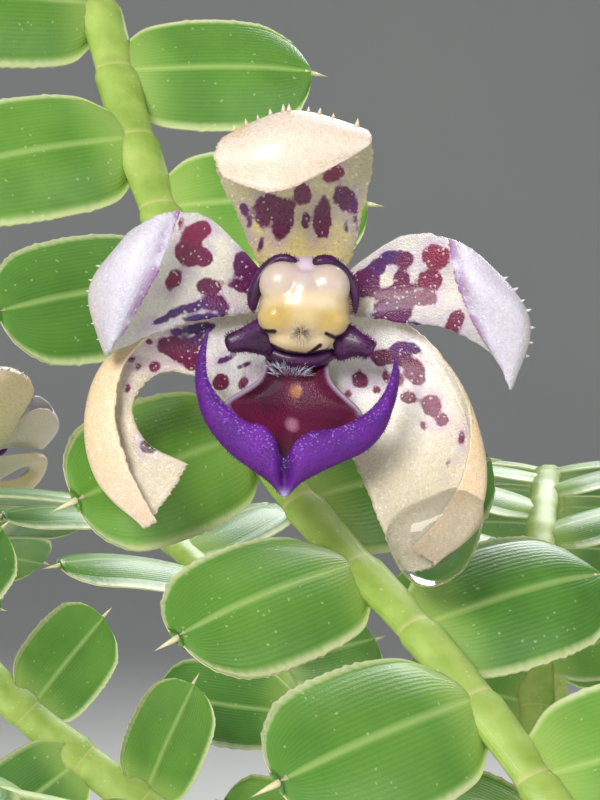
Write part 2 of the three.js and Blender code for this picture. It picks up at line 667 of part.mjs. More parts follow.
// A bloom held in front of a stem: a group turned to face its way, with its organs and its stalk.
function makeBloom(number, { at, facing, seat, seatNormal, hand, size, rows, columns }) {
  const bloom = new THREE.Group();
  bloom.position.copy(at);
  const back = facing.clone().negate().normalize();
  const up = vector(0, 0, 1).sub(back.clone().multiplyScalar(back.z)).normalize();
  bloom.quaternion.setFromRotationMatrix(new THREE.Matrix4().makeBasis(back.clone().cross(up), back, up));
  bloom.scale.setScalar(size);
  bloom.updateMatrixWorld(true);
  const localSeat = bloom.worldToLocal(seat.clone());
  const localNormal = seatNormal.clone().applyQuaternion(bloom.quaternion.clone().invert());
  const name = (piece) => `bloom_${number}_${piece}`;
  const tepal = (grid) => makeTepal(grid, hand, rows, columns);
  bloom.add(
    named(name("dorsal_sepal"), tepal(DORSAL_SEPAL), MATERIALS.sepal),
    named(name("petal_a"), tepal(LEFT_PETAL), MATERIALS.petal),
    named(name("petal_b"), tepal(RIGHT_PETAL), MATERIALS.petal),
    named(name("lateral_sepal_a"), tepal(LEFT_LATERAL_SEPAL), MATERIALS.sepal),
    named(name("lateral_sepal_b"), tepal(RIGHT_LATERAL_SEPAL), MATERIALS.sepal),
    named(name("lip"), makeLip(hand), MATERIALS.lip),
    named(name("column"), makeColumn(hand), MATERIALS.column),
    named(name("stalk"), makeStalk(localSeat, localNormal), MATERIALS.stalk),
  );
  return bloom;
}

// The plant is put together.
const plant = new THREE.Group();
plant.name = "potted_dichaea_pendula";
const routes = [mainRoute, ...ARCHING_STEMS.map(archingRoute)];
const roots = routes.map((path) => path.frameAt(0).at);
plant.add(named("pot", makePot(), MATERIALS.terracotta));
plant.add(named("bark_mix", makeBarkMix(roots), MATERIALS.bark));
const foliage = [
  { bareLength: 31.7, leafAngle: 84, leafSize: 0.98, fullTo: 0.85, seed: 134, keeled: true },
  ...ARCHING_STEMS.map(({ seed }) => {
    return { bareLength: 26, leafAngle: 72, leafSize: 1, fullTo: 0.72, seed, keeled: false };
  }),
];
routes.forEach((path, i) => {
  plant.add(named(`leafy_stem_${i + 1}`, makeLeafyStem(path, foliage[i]), MATERIALS.leaf));
});

// The main bloom stands in front of the main stem, and two others on the stems beside it.
const mainSeat = mainRoute.frameAt(0.735 * mainRoute.length);
plant.add(
  makeBloom(1, {
    at: MAIN_BLOOM,
    facing: vector(0, -1, 0),
    seat: mainSeat.at,
    seatNormal: mainSeat.normal,
    hand: 1,
    size: 1,
    rows: BLOOM.rows,
    columns: BLOOM.columns,
  }),
);
function bloomOnStem(number, path, share, hand, size) {
  const seat = path.frameAt(share * path.length);
  const facing = seat.normal.clone().addScaledVector(seat.tangent, 0.45).normalize();
  const at = seat.at.clone().addScaledVector(seat.normal, 8.2 * size).addScaledVector(seat.side, 0.6);
  const [rows, columns] = [BLOOM.lessRows, BLOOM.lessColumns];
  return makeBloom(number, { at, facing, seat: seat.at, seatNormal: seat.normal, hand, size, rows, columns });
}
plant.add(bloomOnStem(2, routes[1], 0.78, -1, 0.9));
plant.add(bloomOnStem(3, routes[4], 0.76, 1, 0.9));

export default plant;
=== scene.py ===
# %% [markdown]
# A small pendent orchid in a clay pot, dressed for a close portrait of its main bloom.
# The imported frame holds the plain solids. This file loads them, then stands a finer piece in the place
# of each one, so that the plant keeps its size and place while its surfaces become living tissue.
# Lengths are written in millimetres and turned into metres when a mesh is made.

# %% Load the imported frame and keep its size
import math

import bmesh
import bpy
import numpy as np
from mathutils import Matrix, Vector


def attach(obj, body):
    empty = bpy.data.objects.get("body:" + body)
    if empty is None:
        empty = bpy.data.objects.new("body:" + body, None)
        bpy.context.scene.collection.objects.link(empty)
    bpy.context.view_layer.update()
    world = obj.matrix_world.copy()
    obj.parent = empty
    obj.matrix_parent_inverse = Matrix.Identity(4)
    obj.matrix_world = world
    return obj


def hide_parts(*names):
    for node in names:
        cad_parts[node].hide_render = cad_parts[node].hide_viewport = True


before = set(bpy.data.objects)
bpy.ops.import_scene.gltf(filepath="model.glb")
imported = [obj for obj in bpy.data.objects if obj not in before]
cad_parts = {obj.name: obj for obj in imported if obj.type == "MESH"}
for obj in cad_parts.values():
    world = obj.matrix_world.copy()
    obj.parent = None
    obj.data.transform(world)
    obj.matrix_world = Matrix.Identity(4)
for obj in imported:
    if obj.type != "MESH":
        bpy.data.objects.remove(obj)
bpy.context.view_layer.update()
MM = 0.001

# %% [markdown]
# The picture was taken from very close and level with the bloom, so the camera stands there too. The
# bloom spans about 433 of the picture's 600 pixels and is taken as 20 mm across, which makes a pixel
# 0.0462 mm at the bloom. A long lens at a hand's breadth gives that scale. Everything stays sharp,
# because depth of field would blur the other views as well.

# %% Place the camera
MAIN_BLOOM = np.array([-14.0, -36.0, 100.0])  # the foot of the main bloom's column
PIXEL = 0.0462  # mm that one pixel of the picture covers at the bloom
LENS = 100  # mm
SENSOR = 36  # mm along the picture's long side
PICTURE = (600, 800)  # pixels across and down
COLUMN_PIXEL = (303, 320)  # where the column's foot stands in the picture
reach = PICTURE[1] * PIXEL * LENS / SENSOR + 1
right_of_foot = (PICTURE[0] / 2 - COLUMN_PIXEL[0]) * PIXEL
below_foot = (COLUMN_PIXEL[1] - PICTURE[1] / 2) * PIXEL
camera_data = bpy.data.cameras.new("camera")
camera_data.lens = LENS
camera_data.sensor_width = SENSOR
camera_data.clip_start = 0.002
camera = bpy.data.objects.new("camera", camera_data)
camera.location = (MAIN_BLOOM + [right_of_foot, -reach, below_foot]) * MM
camera.rotation_euler = (math.pi / 2, 0, 0)
bpy.context.scene.collection.objects.link(camera)
bpy.context.scene.camera = camera
print("camera is", round(reach, 1), "mm in front of the bloom")

# %% [markdown]
# Petals glow because light passes into them, so the light has to come from several sides. A large soft
# panel at the upper left is the sun through leaves, a weaker one at the right opens the shadows, and one
# from behind and above draws a thin bright line along the margins. The world fills the rest with an even
# pale grey.

# %% Light the studio
bpy.context.scene.view_settings.view_transform = "Standard"


def panel(name, place, size, power, colour, target=MAIN_BLOOM):
    data = bpy.data.lights.new(name, "AREA")
    data.size = size
    data.energy = power
    data.color = colour
    light = bpy.data.objects.new(name, data)
    light.location = place
    aim = Vector(target * MM) - light.location
    light.rotation_euler = aim.to_track_quat("-Z", "Y").to_euler()
    bpy.context.scene.collection.objects.link(light)


panel("key_light", (-0.18, -0.42, 0.30), 0.20, 2.15, (1.0, 0.98, 0.95))
panel("fill_light", (0.34, -0.30, 0.12), 0.35, 0.7, (0.96, 0.98, 1.0))
panel("rim_light", (0.10, 0.36, 0.40), 0.25, 1.8, (1.0, 1.0, 1.0))
world = bpy.data.worlds.new("studio")
bpy.context.scene.world = world
world.use_nodes = True
background = world.node_tree.nodes["Background"]
background.inputs["Color"].default_value = (0.80, 0.84, 0.88, 1)
background.inputs["Strength"].default_value = 0.29
print("lights:", [light.name for light in bpy.data.lights])

# %% [markdown]
# The plant's routes and blades are smooth curves through a few points. The source of the solids draws
# them as curves that pass through every point and are paced by the root of the points' spacing. The same
# kind is written here, so the fine pieces fall where the plain ones are. A seeded draw gives the same
# run of numbers every time.

# %% Curves and draws
DRAW_STEP = 48271
DRAW_RANGE = 2147483647
FULL_TURN = 6.28  # radians, near enough for a random phase
MEASURED_POINTS = 201  # points along a curve where its length is noted


def seeded_draw(seed):
    state = seed

    def draw(low=0.0, high=1.0):
        nonlocal state
        state = state * DRAW_STEP % DRAW_RANGE
        return low + (high - low) * state / DRAW_RANGE

    return draw


def unit(vectors):
    vectors = np.asarray(vectors, float)
    return vectors / np.maximum(np.linalg.norm(vectors, axis=-1, keepdims=True), 1e-12)


def smoothstep(value, low, high):
    share = np.clip((np.asarray(value, float) - low) / (high - low), 0, 1)
    return share * share * (3 - 2 * share)


class Curve:
    """A smooth curve through points, paced by the root of their spacing."""

    def __init__(self, points):
        points = np.asarray(points, float)
        first = 2 * points[0] - points[1]
        last = 2 * points[-1] - points[-2]
        self.points = np.vstack([first, points, last])
        self.spans = len(points) - 1

    def at(self, share):
        place = np.clip(np.asarray(share, float), 0, 1) * self.spans
        span = np.minimum(place.astype(int), self.spans - 1)
        w = (place - span)[..., None]
        a, b, c, d = (self.points[span + k] for k in range(4))
        gaps = (b - a, c - b, d - c)
        before, here, after = (np.sqrt(np.linalg.norm(gap, axis=-1, keepdims=True)) for gap in gaps)
        start = ((b - a) / before - (c - a) / (before + here) + (c - b) / here) * here
        end = ((c - b) / here - (d - b) / (here + after) + (d - c) / after) * here
        return b + w * (start + w * (3 * (c - b) - 2 * start - end + w * (2 * (b - c) + start + end)))

    def measure(self):
        samples = self.at(np.linspace(0, 1, MEASURED_POINTS))
        steps = np.linalg.norm(np.diff(samples, axis=0), axis=1)
        self.lengths = np.concatenate([[0], np.cumsum(steps)])
        return self.lengths[-1]

    def share_at(self, distance):
        return np.interp(distance, self.lengths, np.linspace(0, 1, MEASURED_POINTS))

    def tangent(self, share):
        return unit(self.at(np.minimum(share + 1e-4, 1)) - self.at(np.maximum(share - 1e-4, 0)))


def woven(grid, rows, columns):
    """A smooth surface through a grid of points, first along the grid and then across it."""
    grid = np.asarray(grid, float)
    along = np.linspace(0, 1, rows + 1)
    across = np.linspace(0, 1, columns + 1)
    lengthwise = np.stack([Curve(grid[:, c]).at(along) for c in range(grid.shape[1])], axis=1)
    return np.stack([Curve(row).at(across) for row in lengthwise])


print("curves ready")

# %% [markdown]
# Every piece starts as bare points and faces. Values such as how far along a petal a point lies are
# kept on the points, and the materials read them. That is how colour follows the growth of the plant
# without any picture.


# %% Mesh helpers
def enclosed_volume(points, faces):
    """Volume inside a closed skin, negative where its faces look inward."""
    centred = points - points.mean(axis=0)
    fans = np.array([(face[0], face[i], face[i + 1]) for face in faces for i in range(1, len(face) - 1)])
    a, b, c = (centred[fans[:, k]] for k in range(3))
    return float((a * np.cross(b, c)).sum() / 6)


class Pile:
    """Points, faces and values of a point, gathered up for one mesh."""

    def __init__(self):
        self.points, self.faces, self.values, self.count = [], [], {}, 0

    def add(self, points, faces, closed=True, **values):
        points = np.asarray(points, float).reshape(-1, 3)
        if closed and enclosed_volume(points, faces) < 0:
            faces = [face[::-1] for face in faces]
        self.points.append(points)
        self.faces.extend([tuple(int(i) + self.count for i in face) for face in faces])
        for key, value in values.items():
            spread = np.broadcast_to(np.asarray(value, float).ravel(), (len(points),))
            self.values.setdefault(key, []).append(spread)
        self.count += len(points)

    def make(self, name, *materials):
        mesh = bpy.data.meshes.new(name)
        mesh.from_pydata((np.vstack(self.points) * MM).tolist(), [], self.faces)
        for key, value in self.values.items():
            attribute = mesh.attributes.new(key, "FLOAT", "POINT")
            attribute.data.foreach_set("value", np.concatenate(value).astype(np.float32))
        mesh.polygons.foreach_set("use_smooth", [True] * len(mesh.polygons))
        for material in materials:
            mesh.materials.append(material)
        mesh.update()
        piece = bpy.data.objects.new(name, mesh)
        bpy.context.scene.collection.objects.link(piece)
        return piece


def grid_faces(rows, columns, start=0, flip=False, closed=False):
    """Quads over a grid of points. A closed grid joins its last column to its first."""
    width = columns if closed else columns + 1
    r, c = np.meshgrid(np.arange(rows), np.arange(columns), indexing="ij")
    here = r * width + c
    beside = r * width + (c + 1) % width
    quads = np.stack([here, beside, beside + width, here + width], axis=-1).reshape(-1, 4) + start
    return (quads[:, ::-1] if flip else quads).tolist()


def sheet_faces(rows, columns):
    """A closed sheet: a grid of points, the same grid behind it, and the rim that joins them."""
    count = (rows + 1) * (columns + 1)
    rim = list(range(columns)) + [r * (columns + 1) + columns for r in range(rows)]
    rim += [rows * (columns + 1) + c for c in range(columns, 0, -1)]
    rim += [r * (columns + 1) for r in range(rows, 0, -1)]
    joined = [[b, a, a + count, b + count] for a, b in zip(rim, rim[1:] + rim[:1])]
    return grid_faces(rows, columns) + grid_faces(rows, columns, start=count, flip=True) + joined


def both(values):
    """The same values for the points of a sheet's front and of its back."""
    return np.concatenate([values.ravel(), values.ravel()])


def tube_faces(rings, sides):
    caps = [list(range(sides))[::-1], list(range((rings - 1) * sides, rings * sides))]
    return grid_faces(rings - 1, sides, closed=True) + caps


def cone(pile, foot, direction, length, radius, sides=5, **values):
    """A small pointed hair, wart or tooth, sunk a little into what it grows from."""
    direction = unit(direction)
    across = unit(np.cross(direction, [0.31, 0.22, 0.92]))
    over = np.cross(direction, across)
    turn = 2 * np.pi * np.arange(sides) / sides
    ring = np.cos(turn)[:, None] * across + np.sin(turn)[:, None] * over
    sunk = foot + radius * ring - 0.15 * length * direction
    waist = foot + 0.5 * radius * ring + 0.45 * length * direction
    points = np.vstack([sunk, waist, [foot + length * direction]])
    faces = [list(range(sides))[::-1]]
    for i in range(sides):
        j = (i + 1) % sides
        faces += [[i, j, sides + j, sides + i], [sides + i, sides + j, 2 * sides]]
    pile.add(points, faces, **values)


def place_piece(piece, slot, *nodes):
    """Rides the piece on the plant's only body, in the place of its plain solids."""
    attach(piece, "root")
    if nodes:
        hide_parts(*nodes)


print("mesh helpers ready")

# %% [markdown]
# Shader groups hold the effects that several tissues share. Living cells give petals a fine grain, so one
# group makes tiny cells with a height and a tone, and picks a few of them as glints: a painted highlight
# that the materials put into the colour as bright dots. Markings are soft-edged stains: a distance to the
# nearest stain is kept on the points, and a second group turns it into a ragged mask. A third mixes two
# colours by noise, for everything that is never one flat colour.


# %% Shader groups
def node_group(name, inputs, outputs):
    group = bpy.data.node_groups.new(name, "ShaderNodeTree")
    for title, kind, value in inputs:
        socket = group.interface.new_socket(title, in_out="INPUT", socket_type=kind)
        socket.default_value = value
    for title, kind in outputs:
        group.interface.new_socket(title, in_out="OUTPUT", socket_type=kind)
    nodes, links = group.nodes, group.links
    return group, nodes, links, nodes.new("NodeGroupInput"), nodes.new("NodeGroupOutput")


def add_math(nodes, links, operation, a, b=None, c=None, clamp=False):
    node = nodes.new("ShaderNodeMath")
    node.operation = operation
    node.use_clamp = clamp
    for socket, value in zip(node.inputs, (a, b, c)):
        if value is None:
            continue
        if isinstance(value, (int, float)):
            socket.default_value = value
        else:
            links.new(value, socket)
    return node.outputs[0]


def add_mix(nodes, links, factor, a, b, blend="MIX"):
    node = nodes.new("ShaderNodeMix")
    node.data_type = "RGBA"
    node.blend_type = blend
    for index, value in ((0, factor), (6, a), (7, b)):
        if isinstance(value, (int, float, tuple)):
            node.inputs[index].default_value = value
        else:
            links.new(value, node.inputs[index])
    return node.outputs[2]


def make_cells_group():
    group, nodes, links, start, end = node_group(
        "living_cells",
        [("Scale", "NodeSocketFloat", 9000.0), ("Glints", "NodeSocketFloat", 0.06)],
        [("Height", "NodeSocketFloat"), ("Shade", "NodeSocketFloat"), ("Glint", "NodeSocketFloat")],
    )
    place = nodes.new("ShaderNodeTexCoord").outputs["Object"]
    cells = nodes.new("ShaderNodeTexVoronoi")
    links.new(place, cells.inputs["Vector"])
    links.new(start.outputs["Scale"], cells.inputs["Scale"])
    grain = nodes.new("ShaderNodeTexNoise")
    links.new(place, grain.inputs["Vector"])
    links.new(add_math(nodes, links, "MULTIPLY", start.outputs["Scale"], 0.45), grain.inputs["Scale"])
    grain.inputs["Detail"].default_value = 3
    dome = add_math(nodes, links, "SUBTRACT", 1, cells.outputs["Distance"])
    links.new(add_math(nodes, links, "ADD", dome, grain.outputs["Fac"]), end.inputs["Height"])
    parts = nodes.new("ShaderNodeSeparateColor")
    links.new(cells.outputs["Color"], parts.inputs[0])
    shade = add_math(nodes, links, "MULTIPLY_ADD", parts.outputs[1], 0.5, grain.outputs["Fac"])
    links.new(add_math(nodes, links, "SUBTRACT", shade, 0.25), end.inputs["Shade"])
    # The Glint output picks out a few cells for the materials to whiten: a painted highlight.
    rare = add_math(nodes, links, "SUBTRACT", 1, start.outputs["Glints"])
    links.new(add_math(nodes, links, "GREATER_THAN", parts.outputs[0], rare), end.inputs["Glint"])
    return group


def make_stain_group():
    group, nodes, links, start, end = node_group(
        "stain_mask",
        [
            ("Distance", "NodeSocketFloat", 1.0),
            ("Raggedness", "NodeSocketFloat", 0.16),
            ("Softness", "NodeSocketFloat", 0.07),
        ],
        [("Mask", "NodeSocketFloat")],
    )
    place = nodes.new("ShaderNodeTexCoord").outputs["Object"]
    edge = nodes.new("ShaderNodeTexNoise")
    links.new(place, edge.inputs["Vector"])
    edge.inputs["Scale"].default_value = 2300
    edge.inputs["Detail"].default_value = 5
    wobble = add_math(nodes, links, "SUBTRACT", edge.outputs["Fac"], 0.5)
    raggedness, distance = start.outputs["Raggedness"], start.outputs["Distance"]
    shift = add_math(nodes, links, "MULTIPLY_ADD", wobble, raggedness, distance)
    ramp = nodes.new("ShaderNodeMapRange")
    ramp.interpolation_type = "SMOOTHSTEP"
    links.new(shift, ramp.inputs["Value"])
    links.new(start.outputs["Softness"], ramp.inputs["From Min"])
    links.new(add_math(nodes, links, "MULTIPLY", start.outputs["Softness"], -1), ramp.inputs["From Max"])
    links.new(ramp.outputs["Result"], end.inputs["Mask"])
    return group


def make_mottle_group():
    group, nodes, links, start, end = node_group(
        "mottle",
        [
            ("Light", "NodeSocketColor", (1, 1, 1, 1)),
            ("Dark", "NodeSocketColor", (0, 0, 0, 1)),
            ("Scale", "NodeSocketFloat", 400.0),
            ("Contrast", "NodeSocketFloat", 2.0),
        ],
        [("Color", "NodeSocketColor"), ("Height", "NodeSocketFloat")],
    )
    place = nodes.new("ShaderNodeTexCoord").outputs["Object"]
    clouds = nodes.new("ShaderNodeTexNoise")
    links.new(place, clouds.inputs["Vector"])
    links.new(start.outputs["Scale"], clouds.inputs["Scale"])
    clouds.inputs["Detail"].default_value = 6
    centred = add_math(nodes, links, "SUBTRACT", clouds.outputs["Fac"], 0.5)
    share = add_math(nodes, links, "MULTIPLY_ADD", centred, start.outputs["Contrast"], 0.5, clamp=True)
    mixed = add_mix(nodes, links, share, start.outputs["Dark"], start.outputs["Light"])
    links.new(mixed, end.inputs["Color"])
    links.new(clouds.outputs["Fac"], end.inputs["Height"])
    return group


CELLS, STAIN, MOTTLE = make_cells_group(), make_stain_group(), make_mottle_group()
print("groups:", [group.name for group in bpy.data.node_groups])

# %% [markdown]
# A material is written as a short recipe. The painter below keeps the shader itself in the material and
# offers the few moves that the recipes need: read a value from the points, run it through a ramp of
# colours, add a group, mix, and bump.


# %% A painter for materials
def tint(code, alpha=1.0):
    """A colour written as on a paint card, turned into linear light."""
    parts = [int(code[i : i + 2], 16) / 255 for i in (0, 2, 4)]
    linear = [p / 12.92 if p <= 0.04045 else ((p + 0.055) / 1.055) ** 2.4 for p in parts]
    return (*linear, alpha)


class Painter:
    def __init__(self, name, **constants):
        self.material = bpy.data.materials.new(name)
        self.material.use_nodes = True
        self.nodes, self.links = self.material.node_tree.nodes, self.material.node_tree.links
        self.shader = self.nodes["Principled BSDF"]
        for key, value in constants.items():
            self.shader.inputs[key.replace("_", " ")].default_value = value

    def value(self, name):
        node = self.nodes.new("ShaderNodeAttribute")
        node.attribute_name = name
        return node.outputs["Fac"]

    def group(self, group, **inputs):
        node = self.nodes.new("ShaderNodeGroup")
        node.node_tree = group
        for key, value in inputs.items():
            if isinstance(value, (int, float, tuple)):
                node.inputs[key].default_value = value
            else:
                self.links.new(value, node.inputs[key])
        return node.outputs

    def ramp(self, factor, *stops):
        node = self.nodes.new("ShaderNodeValToRGB")
        while len(node.color_ramp.elements) < len(stops):
            node.color_ramp.elements.new(0.5)
        for element, (place, code) in zip(node.color_ramp.elements, stops):
            element.position = place
            element.color = tint(code)
        self.links.new(factor, node.inputs["Fac"])
        return node.outputs["Color"]

    def math(self, operation, a, b=None, c=None, clamp=False):
        return add_math(self.nodes, self.links, operation, a, b, c, clamp)

    def mix(self, factor, a, b, blend="MIX"):
        return add_mix(self.nodes, self.links, factor, a, b, blend)

    def mask(self, value, low, high):
        node = self.nodes.new("ShaderNodeMapRange")
        node.interpolation_type = "SMOOTHSTEP"
        self.links.new(value, node.inputs["Value"])
        node.inputs["From Min"].default_value = low
        node.inputs["From Max"].default_value = high
        return node.outputs["Result"]

    def feed(self, **sockets):
        for key, output in sockets.items():
            self.links.new(output, self.shader.inputs[key.replace("_", " ")])

    def bump(self, height, strength, distance):
        node = self.nodes.new("ShaderNodeBump")
        node.inputs["Strength"].default_value = strength
        node.inputs["Distance"].default_value = distance
        self.links.new(height, node.inputs["Height"])
        self.links.new(node.outputs["Normal"], self.shader.inputs["Normal"])


print("painter ready")

# %% [markdown]
# The floor is a pale bowl: flat under the pot and curving up far away on every side, so that no horizon
# line crosses the main picture. In a view from behind, the far curve catches the light as a bright band.

# %% Studio bowl
sweep_paint = Painter("pale_sweep", Roughness=0.9)
sweep_tone = sweep_paint.group(MOTTLE, Light=tint("dfe0dc"), Dark=tint("d6d8d5"), Scale=6.0, Contrast=1.2)
sweep_paint.feed(Base_Color=sweep_tone["Color"])
BOWL = {"flat": 1100.0, "curve": 500.0, "height": 1200.0, "below": 0.05, "sides": 96}
turns = np.linspace(0, math.pi / 2, 21)
profile = [(BOWL["flat"] * share, 0.0) for share in (0.02, 0.3, 0.7)]
profile += [(BOWL["flat"] + BOWL["curve"] * math.sin(t), BOWL["curve"] * (1 - math.cos(t))) for t in turns]
profile += [(BOWL["flat"] + BOWL["curve"], BOWL["height"])]
around = 2 * np.pi * np.arange(BOWL["sides"]) / BOWL["sides"]
rings = [[(r * math.cos(a), r * math.sin(a), z - BOWL["below"]) for a in around] for r, z in profile]
sweep = Pile()
middle = [list(range(BOWL["sides"]))]
wall = grid_faces(len(profile) - 1, BOWL["sides"], closed=True, flip=True)
sweep.add(np.reshape(rings, (-1, 3)), middle + wall, closed=False)
floor = sweep.make("sweep", sweep_paint.material)
print("bowl rings:", len(profile))

# %% [markdown]
# The pot is a common small terracotta one. It could be kept as the faceted solid, but its rim would show
# flat sides, so it is turned again on a finer lathe: the same profile with its corners rounded, and very
# shallow rings that a thrower's fingers leave. The three drain holes are cut with a Boolean and the cut
# is applied.

# %% Turn the pot
POT = {
    "height": 58.0, "base": 21.5, "shoulder": 28.0, "rim": 32.0, "rim_height": 12.0,
    "wall": 3.4, "floor": 4.5,
}
CORNER = 0.8  # how far below the rim's top its inner side starts to narrow
SOFT_EDGE = 1.3  # how far a corner of the profile is cut back and rounded
BAND = 1.6  # about the height of one turned band
POT_SIDES = 96
INNER_SHOULDER = POT["height"] - POT["rim_height"] - 4
DRAIN = {"count": 3, "radius": 3.0, "circle": 11.5, "sides": 24}


def rounded(profile, radius, steps=4):
    """The profile with each corner between its ends replaced by a short curve."""
    points = [np.array(profile[0], float)]
    for before, corner, after in zip(profile, profile[1:], profile[2:]):
        corner = np.array(corner, float)
        backward, forward = np.array(before) - corner, np.array(after) - corner
        cut = min(radius, 0.4 * np.linalg.norm(backward), 0.4 * np.linalg.norm(forward))
        a, b = corner + cut * unit(backward), corner + cut * unit(forward)
        for t in np.linspace(0, 1, steps + 1):
            points.append((1 - t) ** 2 * a + 2 * t * (1 - t) * corner + t * t * b)
    return points + [np.array(profile[-1], float)]


def lathed(profile, sides, ripple=lambda radius, height, turn: 0.0):
    """A closed body of revolution round the upright axis. Its profile starts and ends on the axis."""
    turn = 2 * np.pi * np.arange(sides) / sides
    spokes = [(a, np.array([np.cos(a), np.sin(a), 0])) for a in turn]
    rings = [[(r + ripple(r, z, a)) * spoke + [0, 0, z] for a, spoke in spokes] for r, z in profile[1:-1]]
    count = len(rings)
    points = np.vstack([np.reshape(rings, (-1, 3)), [[0, 0, profile[0][1]], [0, 0, profile[-1][1]]]])
    low, high = count * sides, count * sides + 1
    faces = grid_faces(count - 1, sides, closed=True)
    faces += [[low, (i + 1) % sides, i] for i in range(sides)]
    faces += [[high, (count - 1) * sides + i, (count - 1) * sides + (i + 1) % sides] for i in range(sides)]
    return points, faces


def make_pot(material):
    shoulder = POT["height"] - POT["rim_height"]
    inner_rim, inner_shoulder, inner_base = (POT[k] - POT["wall"] for k in ("rim", "shoulder", "base"))
    top, floor_height = POT["height"], POT["floor"]
    outline = [(0, 0), (POT["base"], 0), (POT["shoulder"], shoulder), (POT["rim"], shoulder)]
    outline += [(POT["rim"], top), (inner_rim, top), (inner_rim, top - CORNER)]
    outline += [(inner_shoulder, INNER_SHOULDER), (inner_base, floor_height), (0, floor_height)]
    smooth = rounded(outline, SOFT_EDGE)
    profile = [smooth[0]]
    for a, b in zip(smooth, smooth[1:]):
        bands = max(1, int(np.linalg.norm(b - a) / BAND))
        profile += [a + (b - a) * (i + 1) / bands for i in range(bands)]

    def finger_rings(radius, height, turn):
        if radius < inner_base or height < 1:
            return 0.0
        return 0.05 * math.sin(1.9 * height + 0.8 * math.sin(turn)) + 0.03 * math.sin(0.7 * height + 2 * turn)

    pile = Pile()
    pile.add(*lathed(profile, POT_SIDES, finger_rings))
    pot = pile.make("clay_pot", material)
    bore = [(0, -1), (DRAIN["radius"], -1), (DRAIN["radius"], floor_height + 1), (0, floor_height + 1)]
    for i in range(DRAIN["count"]):
        turn = math.radians(90 + 360 / DRAIN["count"] * i)
        drill = Pile()
        drill.add(*lathed(bore, DRAIN["sides"]))
        cutter = drill.make("drill")
        cutter.location = (DRAIN["circle"] * math.cos(turn) * MM, DRAIN["circle"] * math.sin(turn) * MM, 0)
        cut = pot.modifiers.new("drain", "BOOLEAN")
        cut.operation = "DIFFERENCE"
        cut.object = cutter
        bpy.context.view_layer.update()
        cut_mesh = bpy.data.meshes.new_from_object(pot.evaluated_get(bpy.context.evaluated_depsgraph_get()))
        pot.modifiers.clear()
        pot.data = cut_mesh
        bpy.data.objects.remove(cutter)
    pot.data.polygons.foreach_set("use_smooth", [True] * len(pot.data.polygons))
    pot.data.set_sharp_from_angle(angle=math.radians(50))
    place_piece(pot, "terracotta", "pot")


def paint_terracotta():
    """Fired clay: warm orange, cloudy, with a pale mineral bloom that creeps up from the base."""
    paint = Painter("fired_clay", Roughness=0.86)
    clay = paint.group(MOTTLE, Light=tint("c9794f"), Dark=tint("a4532f"), Scale=60.0, Contrast=1.7)
    speck = paint.group(MOTTLE, Light=tint("e2b795"), Dark=tint("8a4023"), Scale=1500.0, Contrast=3.0)
    height = paint.nodes.new("ShaderNodeSeparateXYZ")
    paint.links.new(paint.nodes.new("ShaderNodeTexCoord").outputs["Object"], height.inputs[0])
    damp = paint.mask(height.outputs["Z"], 0.03, 0.0)
    bloom = paint.group(MOTTLE, Light=tint("ffffff"), Dark=tint("000000"), Scale=110.0, Contrast=3.5)
    salt = paint.math("MULTIPLY", paint.math("MULTIPLY_ADD", damp, 0.55, 0.12), bloom["Height"])
    colour = paint.mix(0.16, clay["Color"], speck["Color"])
    paint.feed(Base_Color=paint.mix(salt, colour, tint("e6d6c4")))
    paint.bump(speck["Height"], 0.5, 0.0004)
    return paint.material


make_pot(paint_terracotta())

# %% [markdown]
# Epiphytes grow in coarse bark. The solid's chips were placed by a seeded draw, and the same draw is
# repeated here, so each chip stands where its plain one does. A chip is a box whose faces are divided,
# rounded and broken along the grain. Small crumbs fill the gaps between them.

# %% Fill the pot with bark
MIX = {
    "top": 49.0, "crown": 1.5, "chips": 25, "crumbs": 110,
    "length": (7.5, 11.5), "width": (4.5, 6.5), "height": (3.0, 4.6),
}
SUNK = 0.9  # how far the mound under the chips lies below their line
GAP = 0.3  # mm that the solids keep between neighbours
GOLDEN = math.radians(137.5)
CHIP_SEED, SPLINTER_SEED, CRUMB_SEED = 20417, 900, 5511


def inner_radius(height):
    low, high = POT["base"] - POT["wall"], POT["shoulder"] - POT["wall"]
    share = (height - POT["floor"]) / (INNER_SHOULDER - POT["floor"])
    return low + (high - low) * min(share, 1) - GAP * 1.4


def turned(x, y, z):
    return np.array(Matrix.Rotation(z, 3, "Z") @ Matrix.Rotation(y, 3, "Y") @ Matrix.Rotation(x, 3, "X"))


def chip(pile, centre, size, rotation, draw, cuts=(10, 6, 4)):
    """A bark chip: a box pressed into a rough slab with splintered ends."""
    tone = draw()
    phases = [draw(0, FULL_TURN) for _ in range(6)]
    patches, faces, count = [], [], 0
    for axis in range(3):
        u_axis, v_axis = (axis + 1) % 3, (axis + 2) % 3
        for side in (-1, 1):
            lines = [np.linspace(-1, 1, cuts[k] + 1) for k in (u_axis, v_axis)]
            u, v = np.meshgrid(*lines, indexing="ij")
            cube = np.zeros((*u.shape, 3))
            cube[..., axis], cube[..., u_axis], cube[..., v_axis] = side, u, v
            rounding = 1 - 0.09 * (np.abs(cube[..., [1, 2, 0]] ** 4) + np.abs(cube[..., [2, 0, 1]] ** 4))
            body = cube * rounding
            x, y, z = (body[..., k] for k in range(3))
            body[..., 2] = z * (1 + 0.18 * np.sin(2.3 * x + phases[0]) + 0.10 * np.sin(7 * y + phases[1]))
            body[..., 1] = y * (1 + 0.12 * np.sin(2.9 * x + phases[2]))
            body[..., 0] = x * (1 + 0.07 * np.sin(9 * y + phases[3]) + 0.05 * np.sin(6 * z + phases[4]))
            patches.append((body * np.array(size) / 2).reshape(-1, 3) @ rotation.T + centre)
            faces += grid_faces(cuts[u_axis], cuts[v_axis], start=count, flip=side < 0)
            count += len(patches[-1])
    pile.add(np.vstack(patches), faces, tone=tone)


